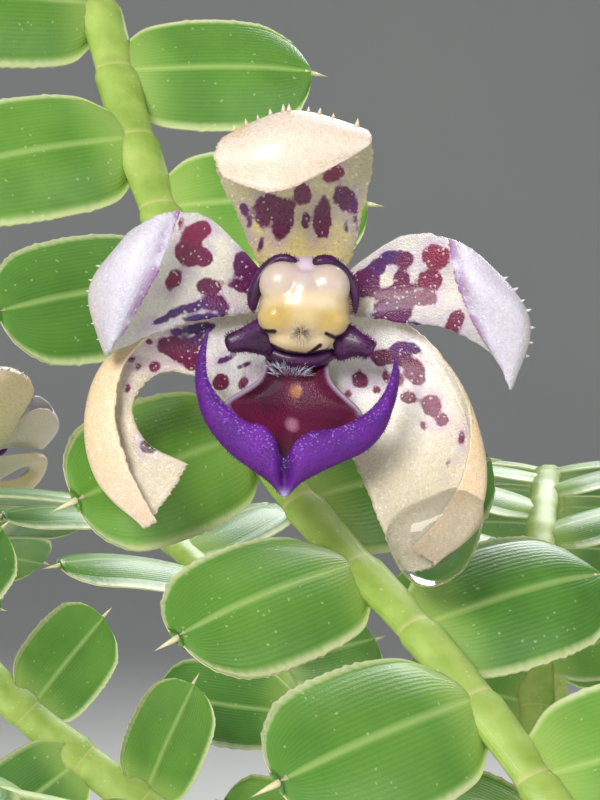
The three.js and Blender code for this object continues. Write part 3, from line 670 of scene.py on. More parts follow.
def make_bark(material):
    pile = Pile()
    floor_height, top, crown = POT["floor"] + GAP, MIX["top"], MIX["crown"]
    outline = [(0, floor_height), (inner_radius(floor_height), floor_height)]
    outline += [(inner_radius(INNER_SHOULDER), INNER_SHOULDER), (inner_radius(top) + 0.6, top - crown)]
    outline += [(r, top - crown * (r / 23) ** 2 - SUNK) for r in (19, 14, 9, 4)] + [(0, top - SUNK)]
    points, faces = lathed([np.array(p, float) for p in outline], 64)
    pile.add(points, faces, tone=0.1)
    draw = seeded_draw(CHIP_SEED)
    for i in range(MIX["chips"]):
        length = draw(*MIX["length"])
        reach = (inner_radius(top) - length / 2 - 0.6) * math.sqrt((i + 0.5) / MIX["chips"])
        size = (length, draw(*MIX["width"]), draw(*MIX["height"]))
        rotation = turned(draw(-0.35, 0.35), draw(-0.3, 0.3), draw(0, math.pi))
        centre = [reach * math.cos(i * GOLDEN), reach * math.sin(i * GOLDEN), top - draw(-0.6, 0.8)]
        chip(pile, centre, size, rotation, seeded_draw(SPLINTER_SEED + i))
    crumbs = seeded_draw(CRUMB_SEED)
    for _ in range(MIX["crumbs"]):
        reach = 23.5 * math.sqrt(crumbs())
        turn = crumbs(0, FULL_TURN)
        size = (crumbs(1.6, 4.2), crumbs(0.9, 2.0), crumbs(0.6, 1.4))
        height = top + crumbs(-0.9, 2.4) * (1 - reach / 40)
        centre = [reach * math.cos(turn), reach * math.sin(turn), height]
        rotation = turned(crumbs(-0.6, 0.6), crumbs(-0.6, 0.6), crumbs(0, 3.1))
        chip(pile, centre, size, rotation, crumbs, (4, 3, 2))
    heap = pile.make("bark_heap", material)
    weld = bmesh.new()
    weld.from_mesh(heap.data)
    bmesh.ops.remove_doubles(weld, verts=weld.verts, dist=1e-7)
    weld.to_mesh(heap.data)
    weld.free()
    place_piece(heap, "bark", "bark_mix")


def paint_bark():
    """Conifer bark: dull red-brown outside, paler on broken faces, streaked along the grain."""
    paint = Painter("bark_chips", Roughness=0.92)
    warm = paint.group(MOTTLE, Light=tint("8d5f3d"), Dark=tint("3a2417"), Scale=420.0, Contrast=2.2)
    pale = paint.group(MOTTLE, Light=tint("b98d62"), Dark=tint("5d3b25"), Scale=900.0, Contrast=2.4)
    paint.feed(Base_Color=paint.mix(paint.value("tone"), warm["Color"], pale["Color"]))
    paint.bump(pale["Height"], 0.9, 0.0007)
    return paint.material


make_bark(paint_bark())
print("bark chips:", MIX["chips"])

# %% [markdown]
# The shoots are drawn along the same routes as their solids. The main one rises at the left, arches over
# and hangs down behind the bloom; the others arch outward in upright planes. Each route carries a face,
# the side that its leaves look to.

# %% Routes of the stems
STEM = {"half_width": 1.35, "half_depth": 0.8, "root": 1.2, "tip_bare": 4.6}
HOLE_DEPTH = 9.0


class Route:
    def __init__(self, points, face):
        self.curve = Curve(points)
        self.length = self.curve.measure()
        self.face = face

    def frame(self, distance):
        """Place, tangent, normal and side at a distance along the route."""
        share = min(max(distance / self.length, 0), 1)
        t = self.curve.share_at(share * self.length)
        tangent = self.curve.tangent(t)
        look = self.face(share)
        normal = unit(look - tangent * look.dot(tangent))
        return self.curve.at(t), tangent, normal, np.cross(tangent, normal)


MAIN_STEM_ROUTE = [
    (5, -59.7, -38), (5, -47.5, -38), (-4, -35, -39), (-20, -22, -41), (-32, -4, -42), (-36, 14, -40),
    (-32, 26, -36), (-24, 30.5, -30.5), (-16, 26.5, -24.5), (-11.5, 18.4, -20), (-9.3, 11.2, -16),
    (-6.6, 4, -12), (-4.1, -2.2, -8.8), (-1.3, -7.1, -6.2), (1.6, -10.6, -3.6), (4.5, -13.5, -0.6),
    (7.6, -17, 2.6), (10.4, -20.7, 5.4), (13.3, -25.6, 8), (15.9, -31.8, 10), (18, -38.8, 11.2),
    (19.6, -46.3, 11.8),
]
RISING_FACE = np.array([-0.75, 0.35, 0.3])
HANGING_FACE = np.array([0.25, -0.62, 0.74])


def main_face(share):
    turn = float(smoothstep(share, 0.25, 0.55))
    return RISING_FACE * (1 - turn) + HANGING_FACE * turn


def arching_route(x, y, heading, length, droop, lean):
    outward = np.array([math.cos(math.radians(heading)), math.sin(math.radians(heading)), 0])
    points = [np.array([x, y, MIX["top"] - HOLE_DEPTH + GAP]), np.array([x, y, MIX["top"] + 4 + GAP])]
    steps = 14
    free = length - HOLE_DEPTH - 4
    for i in range(1, steps + 1):
        share = (i - 0.5) / steps
        tilt = math.radians(lean * min(share * 4, 1) + (droop - lean) * share**0.95)
        onward = outward * math.sin(tilt) + np.array([0, 0, math.cos(tilt)])
        points.append(points[-1] + onward * free / steps)
    return Route(points, lambda share: outward + np.array([0, 0, 0.75]))


routes = [Route([MAIN_BLOOM + [right, -forward, up] for right, up, forward in MAIN_STEM_ROUTE], main_face)]
ARCHING_STEMS = [
    (14, -1, -10, 124, 152, 10), (12, 11, 36, 108, 146, 6), (2, 15, 82, 128, 158, 8),
    (-10, 13, 126, 114, 150, 6), (-13, -8, 214, 92, 148, 24), (6, -14, 306, 88, 150, 22),
]
routes += [arching_route(*stem) for stem in ARCHING_STEMS]
SEEDS = [134, 320, 913, 1544, 2294, 3073, 4029]
FINE_SEED = 7000
print("route lengths in mm:", [round(float(r.length), 1) for r in routes])

# %% [markdown]
# A leaf is a broad oblong blade, domed across and folded a little along its midrib, with a pale, finely
# toothed margin and a thin point. It could be cut from a flat outline and bent, but writing it as a
# grid, along by across, keeps the veins running with the blade and gives every point its place for
# the colour. The stem is an oval tube whose width steps down at each leaf, where one sheath slips out of
# the next.

# %% Leaves and sheathed stems
LEAF = {
    "length": 11.5, "half_width": 3.7, "thickness": 0.76, "pitch": 4.7,
    "rise": 0.18, "sag": 0.2, "point": 1.4,
}
WIDTHS = [
    (-0.06, 0.36), (0.05, 0.66), (0.17, 0.90), (0.45, 1.0),
    (0.77, 0.93), (0.90, 0.70), (0.97, 0.42), (1.0, 0.16),
]


def leaf(pile, frame_here, hand, size, draw, angle, fine, rows, columns):
    at, tangent, normal, side = frame_here
    angle = math.radians(angle + draw(-7, 7))
    lift, roll, droop = draw(0.02, 0.16), draw(-0.28, -0.16), draw(0.16, 0.26)
    along = unit(tangent * math.cos(angle) + hand * math.sin(angle) * side + lift * normal)
    flat = unit(np.cross(normal, along))
    up = unit(np.cross(along, flat))
    spin = np.array(Matrix.Rotation(roll * hand, 3, Vector(along)))
    across, up = spin @ flat, spin @ up
    length = LEAF["length"] * size
    start = at + side * hand * STEM["half_width"] * 0.35
    s = -0.06 + 1.06 * (1 - (1 - np.linspace(0, 1, rows + 1)) ** 1.25)
    v = np.linspace(-1, 1, columns + 1)
    outline = Curve([(a, w, 0) for a, w in WIDTHS]).at(np.linspace(0, 1, 160))
    width = np.interp(s, outline[:, 0], outline[:, 1]) * LEAF["half_width"] * size
    tooth = np.array([fine(0.0, 0.11) if i % 2 else 0 for i in range(rows + 1)]) * smoothstep(s, 0.12, 0.4)
    wave, turn = fine(0.03, 0.12), fine(0, FULL_TURN)
    S, V = np.meshgrid(s, v, indexing="ij")
    half = width[:, None] + tooth[:, None] * (np.abs(V) > 0.99)
    dome = -LEAF["sag"] * width[:, None] * np.abs(V) ** 1.7
    fold = -0.16 * size * np.exp(-((V / 0.10) ** 2)) * smoothstep(S, 0.0, 0.25)
    ripple = wave * np.sin(5.5 * S + turn + 1.2 * V) * np.abs(V) ** 2
    spine = (LEAF["rise"] * S - droop * S**2) * length
    thick = LEAF["thickness"] / 2 * (1 - V**2) ** 0.7 * (1 - 0.4 * smoothstep(S, 0.7, 1)) + 0.05
    centre = start + along * (S * length)[..., None] + across * (V * half)[..., None]
    top = centre + up * (spine + dome + fold + ripple + thick)[..., None]
    under = centre + up * (spine + dome + fold + ripple - thick)[..., None]
    count = (rows + 1) * (columns + 1)
    values = {"along": np.concatenate([S.ravel()] * 2), "across": np.concatenate([V.ravel()] * 2)}
    shade = fine()
    edge = [r * (columns + 1) for r in range(rows + 1)]
    far = [e + columns for e in edge]
    faces = grid_faces(rows, columns, flip=True) + grid_faces(rows, columns, start=count)
    for line, turned_round in ((edge, False), (far, True)):
        for a, b in zip(line, line[1:]):
            quad = [a, b, b + count, a + count]
            faces.append(quad[::-1] if turned_round else quad)
    first, last = range(columns), range(rows * (columns + 1), rows * (columns + 1) + columns)
    faces += [[a + 1, a, a + count, a + 1 + count] for a in first]
    faces += [[a, a + 1, a + 1 + count, a + count] for a in last]
    pile.add(np.vstack([top.reshape(-1, 3), under.reshape(-1, 3)]), faces, tone=shade, leafy=1.0, **values)
    tip = start + along * length * 0.985 + up * (LEAF["rise"] - droop) * length
    point = along * LEAF["point"] * size - up * 0.5 * size
    thorn = {"tone": shade, "leafy": 1.0, "along": 1.3, "across": 0.0}
    cone(pile, tip, point, np.linalg.norm(point) * 1.05, 0.24 * size, 6, **thorn)


def stem_tube(pile, route, bare, step, sides):
    """The flattened stem. Its sheaths overlap, so its width saws down from leaf to leaf."""
    count = int(route.length / step)
    turn = 2 * np.pi * np.arange(sides) / sides
    rings, steps_down = [], []
    for i in range(count + 1):
        distance = route.length * i / count
        at, _, normal, side = route.frame(distance)
        flat = float(smoothstep(distance, 8, 26))
        taper = 1 - 0.3 * (distance / route.length) ** 3
        if distance > route.length - 6:
            taper *= max((route.length - distance) / 6, 0.02) ** 0.6
        along_sheath = (distance - bare) / LEAF["pitch"] % 1
        swell = 1 + 0.16 * (1 - along_sheath) ** 2 * float(smoothstep(distance, bare - 14, bare - 4)) - 0.07
        width = (STEM["root"] + (STEM["half_width"] - STEM["root"]) * flat) * taper * swell
        depth = (STEM["root"] + (STEM["half_depth"] - STEM["root"]) * flat) * taper * swell
        rings.append(at + np.outer(np.cos(turn) * width, side) + np.outer(np.sin(turn) * depth, normal))
        steps_down.append(along_sheath)
    values = {"along": np.repeat(steps_down, sides), "across": np.tile(np.cos(turn), count + 1)}
    pile.add(np.reshape(rings, (-1, 3)), tube_faces(count + 1, sides), tone=0.5, leafy=0.0, **values)


def leafy_stem(number, material):
    route = routes[number - 1]
    main = number == 1
    bare, angle, leaf_size, full_to = (31.7, 84, 0.98, 0.85) if main else (26, 72, 1, 0.72)
    rows, columns = (44, 12) if main else (22, 8)
    pile = Pile()
    stem_tube(pile, route, bare, 0.47 if main else 0.78, 16 if main else 10)
    draw, fine = seeded_draw(SEEDS[number - 1]), seeded_draw(FINE_SEED + number)
    count = int((route.length - STEM["tip_bare"] - bare) // LEAF["pitch"])
    for i in range(count + 1):
        share = i / count
        young = 0.78 + 0.22 * min(share / 0.25, 1)
        size = young - 0.42 * max((share - full_to) / (1 - full_to), 0) ** 1.6
        own = leaf_size * draw(0.94, 1.04)
        place = route.frame(bare + LEAF["pitch"] * i)
        hand = -1 if i % 2 else 1
        leaf(pile, place, hand, size * own, draw, angle, fine, rows, columns)
    place_piece(pile.make(f"shoot_{number}", material), "leaf", f"leafy_stem_{number}")


def paint_leaf():
    """Thin green blades: fine veins run lengthwise, the margin is pale, and stems are yellower."""
    paint = Painter(
        "orchid_leaf", Roughness=0.42, Subsurface_Weight=0.25, Subsurface_Scale=0.0009, Coat_Weight=0.08
    )
    paint.shader.inputs["Subsurface Radius"].default_value = (0.6, 1.0, 0.25)
    along, across, tone = paint.value("along"), paint.value("across"), paint.value("tone")
    blade = paint.group(MOTTLE, Light=tint("88b84c"), Dark=tint("4d8622"), Scale=260.0, Contrast=1.5)
    deep = paint.group(MOTTLE, Light=tint("5d9633"), Dark=tint("34681c"), Scale=300.0, Contrast=1.6)
    green = paint.mix(tone, blade["Color"], deep["Color"])
    ribs = paint.math("SINE", paint.math("MULTIPLY", across, 95.0))
    rib = paint.math("MULTIPLY_ADD", ribs, 0.5, 0.5)
    green = paint.mix(paint.math("MULTIPLY", rib, 0.06), green, tint("b2d77a"))
    edge = paint.mask(paint.math("ABSOLUTE", across), 0.86, 0.99)
    green = paint.mix(paint.math("MULTIPLY", edge, 0.85), green, tint("dfe6ae"))
    midrib = paint.mask(paint.math("ABSOLUTE", across), 0.09, 0.0)
    green = paint.mix(paint.math("MULTIPLY", midrib, 0.45), green, tint("c4dd86"))
    green = paint.mix(paint.math("MULTIPLY", paint.mask(along, 0.30, 0.0), 0.5), green, tint("b9d46e"))
    green = paint.mix(paint.mask(along, 1.02, 1.2), green, tint("e9dfb0"))
    sheath = paint.group(MOTTLE, Light=tint("b6cc6a"), Dark=tint("86a83e"), Scale=700.0, Contrast=1.8)
    rim = paint.mask(along, 0.9, 0.99)
    stem = paint.mix(paint.math("MULTIPLY", rim, 0.6), sheath["Color"], tint("d9cf92"))
    colour = paint.mix(paint.value("leafy"), stem, green)
    # Painted highlight: a few cells are whitened in the colour as glints.
    cells = paint.group(CELLS, Scale=9000.0, Glints=0.005)
    painted_leaf_glints = paint.mix(paint.math("MULTIPLY", cells["Glint"], 0.3), colour, tint("e4f0c0"))
    paint.feed(Base_Color=painted_leaf_glints)
    height = paint.math("MULTIPLY_ADD", rib, 0.25, paint.math("MULTIPLY", cells["Height"], 0.3))
    paint.bump(height, 0.3, 0.00012)
    return paint.material


leaf_material = paint_leaf()
for number in range(1, 8):
    leafy_stem(number, leaf_material)

# %% [markdown]
# The bloom is described by small grids of points, right, up and forward of the column's foot, the same
# ones as its solids. Each grid runs from the base of a sepal or petal to its apex. The apex of most of
# them folds toward the viewer, so that its outer face shows: the hooded top, the lilac wings and the
# peach band at the left.

# %% Grids of the bloom
DORSAL_SEPAL = [
    [(-1.1, 1.5, -1.3), (0, 1.5, -1.4), (1.1, 1.5, -1.3)],
    [(-2.2, 2.9, -0.9), (0, 2.9, -1.1), (2.2, 2.9, -0.9)],
    [(-3.0, 4.9, -0.1), (-0.1, 4.9, -0.4), (2.7, 4.9, -0.1)],
    [(-4.0, 7.2, 0.9), (-0.4, 7.3, 0.5), (3.2, 7.5, 0.9)],
    [(-3.6, 8.3, 1.9), (-0.5, 9.3, 1.6), (2.9, 8.6, 1.9)],
    [(-4.0, 7.4, 2.7), (-0.5, 8.4, 3.1), (3.1, 8.0, 2.7)],
    [(-3.6, 6.4, 2.9), (-1.3, 5.7, 3.6), (2.0, 7.2, 3.0)],
]
LEFT_PETAL = [
    [(-1.4, 1.7, -0.5), (-1.5, 1.1, -0.6), (-1.5, 0.4, -0.5)],
    [(-3.0, 3.5, 0.4), (-3.1, 1.9, -0.1), (-3.1, 0.3, 0.3)],
    [(-4.8, 4.9, 0.8), (-5.0, 2.4, 0.4), (-5.0, 0.0, 0.7)],
    [(-6.9, 4.6, 1.3), (-7.3, 2.0, 1.0), (-7.0, -0.7, 1.3)],
    [(-8.2, 3.5, 2.1), (-9.5, 1.2, 2.0), (-9.0, -1.6, 2.1)],
    [(-8.0, 3.8, 2.9), (-9.0, 1.4, 3.1), (-8.7, -1.4, 2.9)],
    [(-6.6, 4.6, 3.2), (-7.8, 2.0, 3.7), (-8.6, -1.1, 3.1)],
    [(-5.6, 4.9, 2.8), (-6.6, 2.0, 3.6), (-8.2, -0.7, 3.0)],
]
RIGHT_PETAL = [
    [(1.4, 1.7, -0.5), (1.5, 1.1, -0.6), (1.5, 0.4, -0.5)],
    [(2.9, 2.9, 0.4), (3.0, 1.5, -0.1), (2.8, 0.2, 0.3)],
    [(4.7, 3.9, 0.8), (4.8, 1.9, 0.4), (4.7, -0.1, 0.7)],
    [(6.7, 3.7, 1.3), (7.1, 1.6, 1.0), (7.0, -0.5, 1.2)],
    [(8.4, 2.5, 2.0), (10.0, 0.0, 2.1), (9.6, -2.6, 2.0)],
    [(8.2, 2.6, 2.9), (9.8, 0.1, 3.1), (9.4, -3.2, 2.6)],
    [(7.3, 3.3, 3.1), (8.4, 0.8, 3.6), (9.1, -2.4, 2.8)],
    [(6.6, 3.6, 2.6), (7.1, 1.2, 3.3), (8.4, -1.4, 2.9)],
]
LEFT_LATERAL_SEPAL = [
    [(-1.0, 0.6, -1.3), (-1.0, -0.3, -1.35), (-1.0, -1.2, -1.4), (-1.0, -2.3, -1.2)],
    [(-3.9, 0.4, -0.8), (-3.8, -1.0, -0.8), (-3.4, -2.5, -0.8), (-3.1, -3.9, -0.2)],
    [(-6.4, -0.3, 0.1), (-6.3, -1.0, -0.3), (-5.6, -1.8, -0.2), (-5.0, -2.6, 0.2)],
    [(-8.2, -1.9, 1.5), (-8.8, -1.9, 0.7), (-7.8, -2.3, 0.4), (-6.8, -2.5, 0.6)],
    [(-8.6, -4.4, 2.1), (-9.8, -4.6, 1.3), (-8.8, -4.2, 0.9), (-7.9, -3.9, 1.1)],
    [(-7.9, -6.8, 2.6), (-9.4, -7.2, 1.8), (-8.2, -6.5, 1.5), (-7.2, -5.6, 1.7)],
    [(-6.7, -9.2, 2.7), (-7.3, -9.5, 2.3), (-6.2, -8.1, 2.1), (-5.3, -6.6, 2.3)],
]
RIGHT_LATERAL_SEPAL = [
    [(0.9, -2.3, -1.2), (1.0, -1.2, -1.4), (1.0, -0.3, -1.35), (1.0, 0.6, -1.3)],
    [(1.8, -4.1, -0.2), (3.2, -2.2, -0.9), (4.1, -0.6, -0.8), (4.2, 0.2, -0.8)],
    [(1.9, -5.4, 0.4), (4.2, -3.8, -0.2), (6.3, -2.1, -0.1), (6.5, -1.8, 0.2)],
    [(2.5, -6.7, 0.8), (5.1, -5.6, 0.4), (7.6, -4.4, 0.8), (7.7, -4.3, 1.3)],
    [(3.2, -8.4, 1.3), (5.8, -7.6, 0.9), (8.2, -6.8, 1.3), (7.4, -6.9, 2.1)],
    [(3.9, -10.1, 1.8), (5.8, -9.6, 1.4), (7.8, -9.0, 1.8), (6.0, -9.3, 2.6)],
    [(4.5, -11.4, 2.2), (5.1, -11.4, 2.1), (6.0, -11.1, 2.2), (4.9, -10.4, 2.9)],
]
grids = (DORSAL_SEPAL, LEFT_PETAL, RIGHT_PETAL, LEFT_LATERAL_SEPAL, RIGHT_LATERAL_SEPAL)
print("grid rows:", [len(grid) for grid in grids])

# %% [markdown]
# Each stain is an oval on the inner face: its place, its half width and half height, its tilt in degrees,
# and its hue from crimson at 0 through purple to blue-violet at 1, with 1.5 for a dead brown patch. The
# distance to the nearest oval, with neighbours melting together, is stored on the points.

# %% Stains of the sepals and petals
MELT = 0.10  # mm over which neighbouring ovals melt together
NO_STAIN = 3.0  # a distance in mm at which no stain shows
DORSAL_STAINS = [
    (-1.79, 5.08, 0.42, 0.78, -8, 0.45), (-1.4, 5.35, 0.5, 0.45, 0, 0.4), (-0.9, 4.77, 0.46, 1.0, -17, 0.45),
    (0.0, 5.9, 0.38, 0.5, 0, 0.35), (0.11, 4.66, 0.18, 0.36, 0, 0.45), (0.91, 4.77, 0.42, 0.95, -4, 0.45),
    (1.96, 5.67, 0.46, 0.66, 32, 0.55), (1.4, 6.79, 0.55, 0.34, 18, 0.05), (2.02, 4.32, 0.10, 0.22, 0, 0.8),
    (-2.74, 5.2, 0.2, 0.3, 20, 0.7), (-2.5, 4.6, 0.12, 0.4, -20, 0.7), (-2.0, 3.54, 0.14, 0.3, -20, 0.6),
    (2.5, 4.72, 0.08, 0.4, 8, 0.9),
]
LEFT_PETAL_STAINS = [
    (-4.69, 4.2, 0.48, 0.45, 0, 0.1), (-5.14, 3.8, 0.45, 0.5, 0, 0.05), (-5.31, 3.12, 0.62, 0.62, 0, 0.15),
    (-4.64, 2.92, 0.45, 0.45, 0, 0.2), (-5.98, 1.9, 0.32, 0.58, -28, 0.1), (-5.65, 4.45, 0.12, 0.3, -10, 0.1),
    (-4.36, 1.54, 0.6, 0.42, -8, 0.45), (-4.02, 0.78, 0.62, 0.4, -12, 0.6), (-5.03, 0.61, 0.45, 0.2, 12, 0.9),
    (-5.93, 0.34, 0.38, 0.2, 25, 0.95), (-6.6, -0.05, 0.28, 0.12, 25, 0.95), (-4.6, 0.1, 0.9, 0.2, 5, 1.0),
    (-2.57, 2.52, 0.62, 0.78, 40, 0.6), (-2.1, 1.9, 0.5, 0.5, 0, 0.7), (-2.85, 1.62, 0.62, 0.32, -22, 0.55),
]
RIGHT_PETAL_STAINS = [
    (6.14, 2.92, 0.66, 0.58, -20, 0.0), (5.91, 1.88, 0.55, 0.48, 0, 0.08), (5.7, 1.05, 0.55, 0.36, -10, 0.2),
    (4.7, 2.81, 0.4, 0.38, 0, 0.4), (4.57, 1.98, 0.38, 0.42, 0, 0.35), (4.61, 1.5, 0.5, 0.3, 10, 0.3),
    (3.9, 1.25, 0.7, 0.22, 8, 0.4), (2.9, 1.75, 0.75, 0.65, 30, 0.55), (3.45, 2.45, 0.5, 0.35, 25, 0.8),
    (4.0, 2.95, 0.5, 0.26, 15, 0.9), (4.12, 0.36, 0.92, 0.68, 5, 0.55), (4.99, 0.9, 0.42, 0.22, 10, 0.4),
    (7.0, -0.08, 0.38, 0.62, -25, 0.15), (5.48, -0.32, 1.0, 0.12, -12, 1.0), (3.9, -0.25, 0.8, 0.18, 0, 1.0),
]
LEFT_LATERAL_STAINS = [
    (-6.25, -1.15, 0.55, 0.42, 0, 0.35), (-5.68, -1.5, 0.6, 0.5, -10, 0.3),
    (-5.17, -1.75, 0.42, 0.55, 0, 0.3), (-5.1, -0.95, 0.55, 0.2, 8, 0.7),
    (-5.87, -0.5, 0.32, 0.15, 0, 0.9), (-4.85, -0.35, 0.65, 0.28, 10, 1.0),
    (-7.13, -0.98, 0.13, 0.13, 0, 0.3), (-8.37, -1.95, 0.12, 0.18, -20, 0.3),
    (-7.96, -1.8, 0.12, 0.13, 0, 0.3), (-7.64, -2.15, 0.12, 0.16, 0, 0.25),
    (-6.85, -2.15, 0.26, 0.26, 0, 0.3), (-8.1, -3.14, 0.13, 0.2, 0, 0.2),
    (-8.8, -4.12, 0.08, 0.18, 0, 0.3), (-7.15, -5.85, 0.42, 0.28, -35, 1.5),
    (-3.58, -1.77, 0.5, 0.15, 25, 0.75), (-2.7, -2.03, 0.3, 0.11, 25, 0.7),
    (-3.83, -2.85, 0.4, 0.4, 0, 0.2), (-2.82, -2.91, 0.19, 0.36, -35, 0.25),
]
RIGHT_LATERAL_STAINS = [
    (3.74, -1.71, 0.58, 0.4, -8, 0.4), (4.53, -1.3, 0.45, 0.35, 0, 0.75),
    (5.22, -1.3, 0.35, 0.2, -30, 0.85), (4.75, -1.85, 0.35, 0.3, 0, 0.45),
    (5.22, -2.34, 0.45, 0.68, 22, 0.25), (4.53, -2.73, 0.2, 0.25, 20, 0.25),
    (3.9, -2.65, 0.18, 0.3, 10, 0.25), (4.95, -3.59, 0.4, 0.28, -20, 0.15),
    (5.97, -3.94, 0.46, 0.5, 0, 0.15), (6.44, -4.6, 0.28, 0.3, 0, 0.2),
    (5.58, -4.84, 0.13, 0.22, 15, 0.3), (7.3, -5.5, 0.14, 0.36, -8, 0.25),
    (6.71, -6.56, 0.11, 0.2, -15, 0.3), (2.65, -2.77, 0.42, 0.34, -15, 0.3),
    (3.43, -3.2, 0.15, 0.2, 30, 0.15), (2.1, -3.43, 0.15, 0.2, 0, 0.2),
    (2.65, -2.3, 0.06, 0.06, 0, 0.9),
]


def stain_field(right, up, stains):
    """Distance in mm to the edge of the nearest oval, negative inside, and that oval's hue."""
    near, hues = [], []
    for x, y, half_wide, half_tall, tilt, own_hue in stains:
        c, s = math.cos(math.radians(tilt)), math.sin(math.radians(tilt))
        u, v = right - x, up - y
        a, b = (u * c + v * s) / half_wide, (v * c - u * s) / half_tall
        near.append((np.sqrt(a * a + b * b) - 1) * min(half_wide, half_tall))
        hues.append(own_hue)
    weight = np.exp(-np.clip(np.stack(near), -2, 6) / MELT)
    total = weight.sum(0)
    hue = (weight * np.reshape(hues, (-1,) + (1,) * right.ndim)).sum(0) / total
    return -MELT * np.log(total), hue


stain_lists = (DORSAL_STAINS, LEFT_PETAL_STAINS, RIGHT_PETAL_STAINS)
stain_lists += (LEFT_LATERAL_STAINS, RIGHT_LATERAL_STAINS)
print("stains:", sum(len(stains) for stains in stain_lists))

# %% [markdown]
# A sepal or petal is a thin sheet, thick along its middle and thin at its toothed margin. Warts stand
# on the outside of its fold, where the real one has small pointed papillae. A subdivision surface could
# smooth a coarse cage, but the curves already do that, and a dense grid holds the stains' sharp edges.

# %% Build a sepal or petal
TOOTH = (-0.02, 0.10)  # mm that a tooth of the margin stands in or out


def tepal(pile, grid, stains, seed, crest=None, rows=84, columns=56, thickness=0.5):
    draw = seeded_draw(seed)
    middle = woven(np.array([[(r, -f, u) for r, u, f in row] for row in grid]), rows, columns)
    s, t = np.meshgrid(np.linspace(0, 1, rows + 1), np.linspace(0, 1, columns + 1), indexing="ij")
    down, over = np.gradient(middle, axis=0), np.gradient(middle, axis=1)
    normal = unit(np.cross(down, over))
    normal *= -np.sign(normal[rows // 8, columns // 2, 1])
    swell = np.zeros(s.shape)
    for _ in range(5):
        height = draw(0.01, 0.035)
        swell += height * np.sin(draw(4, 16) * s + draw(4, 12) * t + draw(0, FULL_TURN))
    middle = middle + normal * (swell * smoothstep(s, 0, 0.2))[..., None]
    teeth = np.array([draw(*TOOTH) for _ in range(rows + 1)]) * smoothstep(s[:, 0], 0.15, 0.4)
    outward = unit(over)
    middle[:, 0] -= outward[:, 0] * teeth[:, None]
    middle[:, -1] += outward[:, -1] * teeth[::-1, None]
    middle[-1] += unit(down[-1]) * np.array([draw(*TOOTH) for _ in range(columns + 1)])[:, None]
    half = thickness / 2 * (0.22 + 0.78 * (1 - np.abs(2 * t - 1) ** 4)) * (1 - 0.7 * smoothstep(s, 0.9, 1))
    inner, outer = middle + normal * half[..., None], middle - normal * half[..., None]
    count = (rows + 1) * (columns + 1)
    spot, hue = stain_field(inner[..., 0], inner[..., 2], stains)
    values = {"along": both(s), "across": both(t), "hue": both(hue)}
    values["spot"] = np.concatenate([spot.ravel(), np.full(count, NO_STAIN)])
    values["inner"] = np.concatenate([np.ones(count), np.zeros(count)])
    points = np.vstack([inner.reshape(-1, 3), outer.reshape(-1, 3)])
    pile.add(points, sheet_faces(rows, columns), **values)
    if crest is not None:
        direction, places, length = crest
        direction = unit(direction)
        for place in places:
            column = int(np.clip(place + draw(-0.02, 0.02), 0.02, 0.98) * columns)
            row = int(np.argmax(outer[:, column] @ direction)) + int(draw(-1, 2.4))
            row = min(row, rows)
            out = unit(-normal[row, column] + 0.9 * direction)
            size = length * draw(0.7, 1.25)
            wart = {"along": s[row, column], "across": place, "hue": 0.0, "spot": NO_STAIN, "inner": 0.0}
            cone(pile, outer[row, column], out, size, 0.45 * size, 7, **wart)


DYE = [
    (0.0, "840438"), (0.10, "74043c"), (0.30, "60043e"), (0.47, "56085e"),
    (0.66, "341060"), (0.9, "2a1060"), (1.0, "34120a"),
]


def tissue(name, inner_stops, outer_stops, veil, roughness, fringe, coat):
    """Petal tissue. Inner and outer faces have their own run of colours from base to apex."""
    paint = Painter(
        name, Subsurface_Weight=0.3, Subsurface_Scale=0.0003, Coat_Weight=coat, Coat_Roughness=0.2
    )
    paint.shader.inputs["Subsurface Radius"].default_value = (1.0, 0.75, 0.6)
    along, across, inner = paint.value("along"), paint.value("across"), paint.value("inner")
    cells = paint.group(CELLS, Scale=11000.0, Glints=0.035)
    clouds = paint.group(MOTTLE, Light=tint("ffffff"), Dark=tint("000000"), Scale=900.0, Contrast=2.0)
    drift = paint.math("MULTIPLY_ADD", paint.math("SUBTRACT", clouds["Height"], 0.5), 0.35, along)
    inside = paint.ramp(drift, *inner_stops)
    edge = paint.mask(paint.math("ABSOLUTE", paint.math("MULTIPLY_ADD", across, 2.0, -1.0)), 0.62, 1.0)
    inside = paint.mix(paint.math("MULTIPLY", edge, veil[1]), inside, tint(veil[0]))
    outside = paint.ramp(drift, *outer_stops)
    torn = paint.math("MULTIPLY", paint.mask(along, 0.91, 1.0), paint.mask(clouds["Height"], 0.40, 0.56))
    outside = paint.mix(paint.math("MULTIPLY", torn, fringe[1]), outside, tint(fringe[0]))
    colour = paint.mix(paint.mask(inner, 0.35, 0.65), outside, inside)
    speckle = paint.math("MULTIPLY", paint.mask(cells["Shade"], 0.62, 0.28), 0.16)
    colour = paint.mix(speckle, colour, tint("a39a90"), "MULTIPLY")
    near_stain = paint.mask(paint.value("spot"), 0.55, -0.05)
    halo = paint.math("MULTIPLY", near_stain, paint.mask(clouds["Height"], 0.35, 0.6))
    colour = paint.mix(paint.math("MULTIPLY", halo, 0.42), colour, tint("b088c4"))
    stain = paint.group(STAIN, Distance=paint.value("spot"), Raggedness=0.30, Softness=0.05)
    hue = paint.math("MULTIPLY", paint.value("hue"), 1 / 1.5)
    dye = paint.ramp(hue, *DYE)
    grainy = paint.mix(paint.mask(cells["Shade"], 0.35, 0.9), dye, paint.mix(0.12, dye, tint("b050a8")))
    spotted = paint.mix(paint.math("MULTIPLY", stain["Mask"], 0.99), colour, grainy)
    # Painted highlight: a few cells are whitened in the colour as glints.
    glint = paint.math("MULTIPLY", cells["Glint"], 0.38)
    paint.feed(Base_Color=paint.mix(glint, spotted, tint("fffdf8")))
    paint.feed(Roughness=paint.math("MULTIPLY_ADD", cells["Shade"], 0.25, roughness - 0.12))
    paint.bump(cells["Height"], 0.42, 0.00007)
    return paint.material


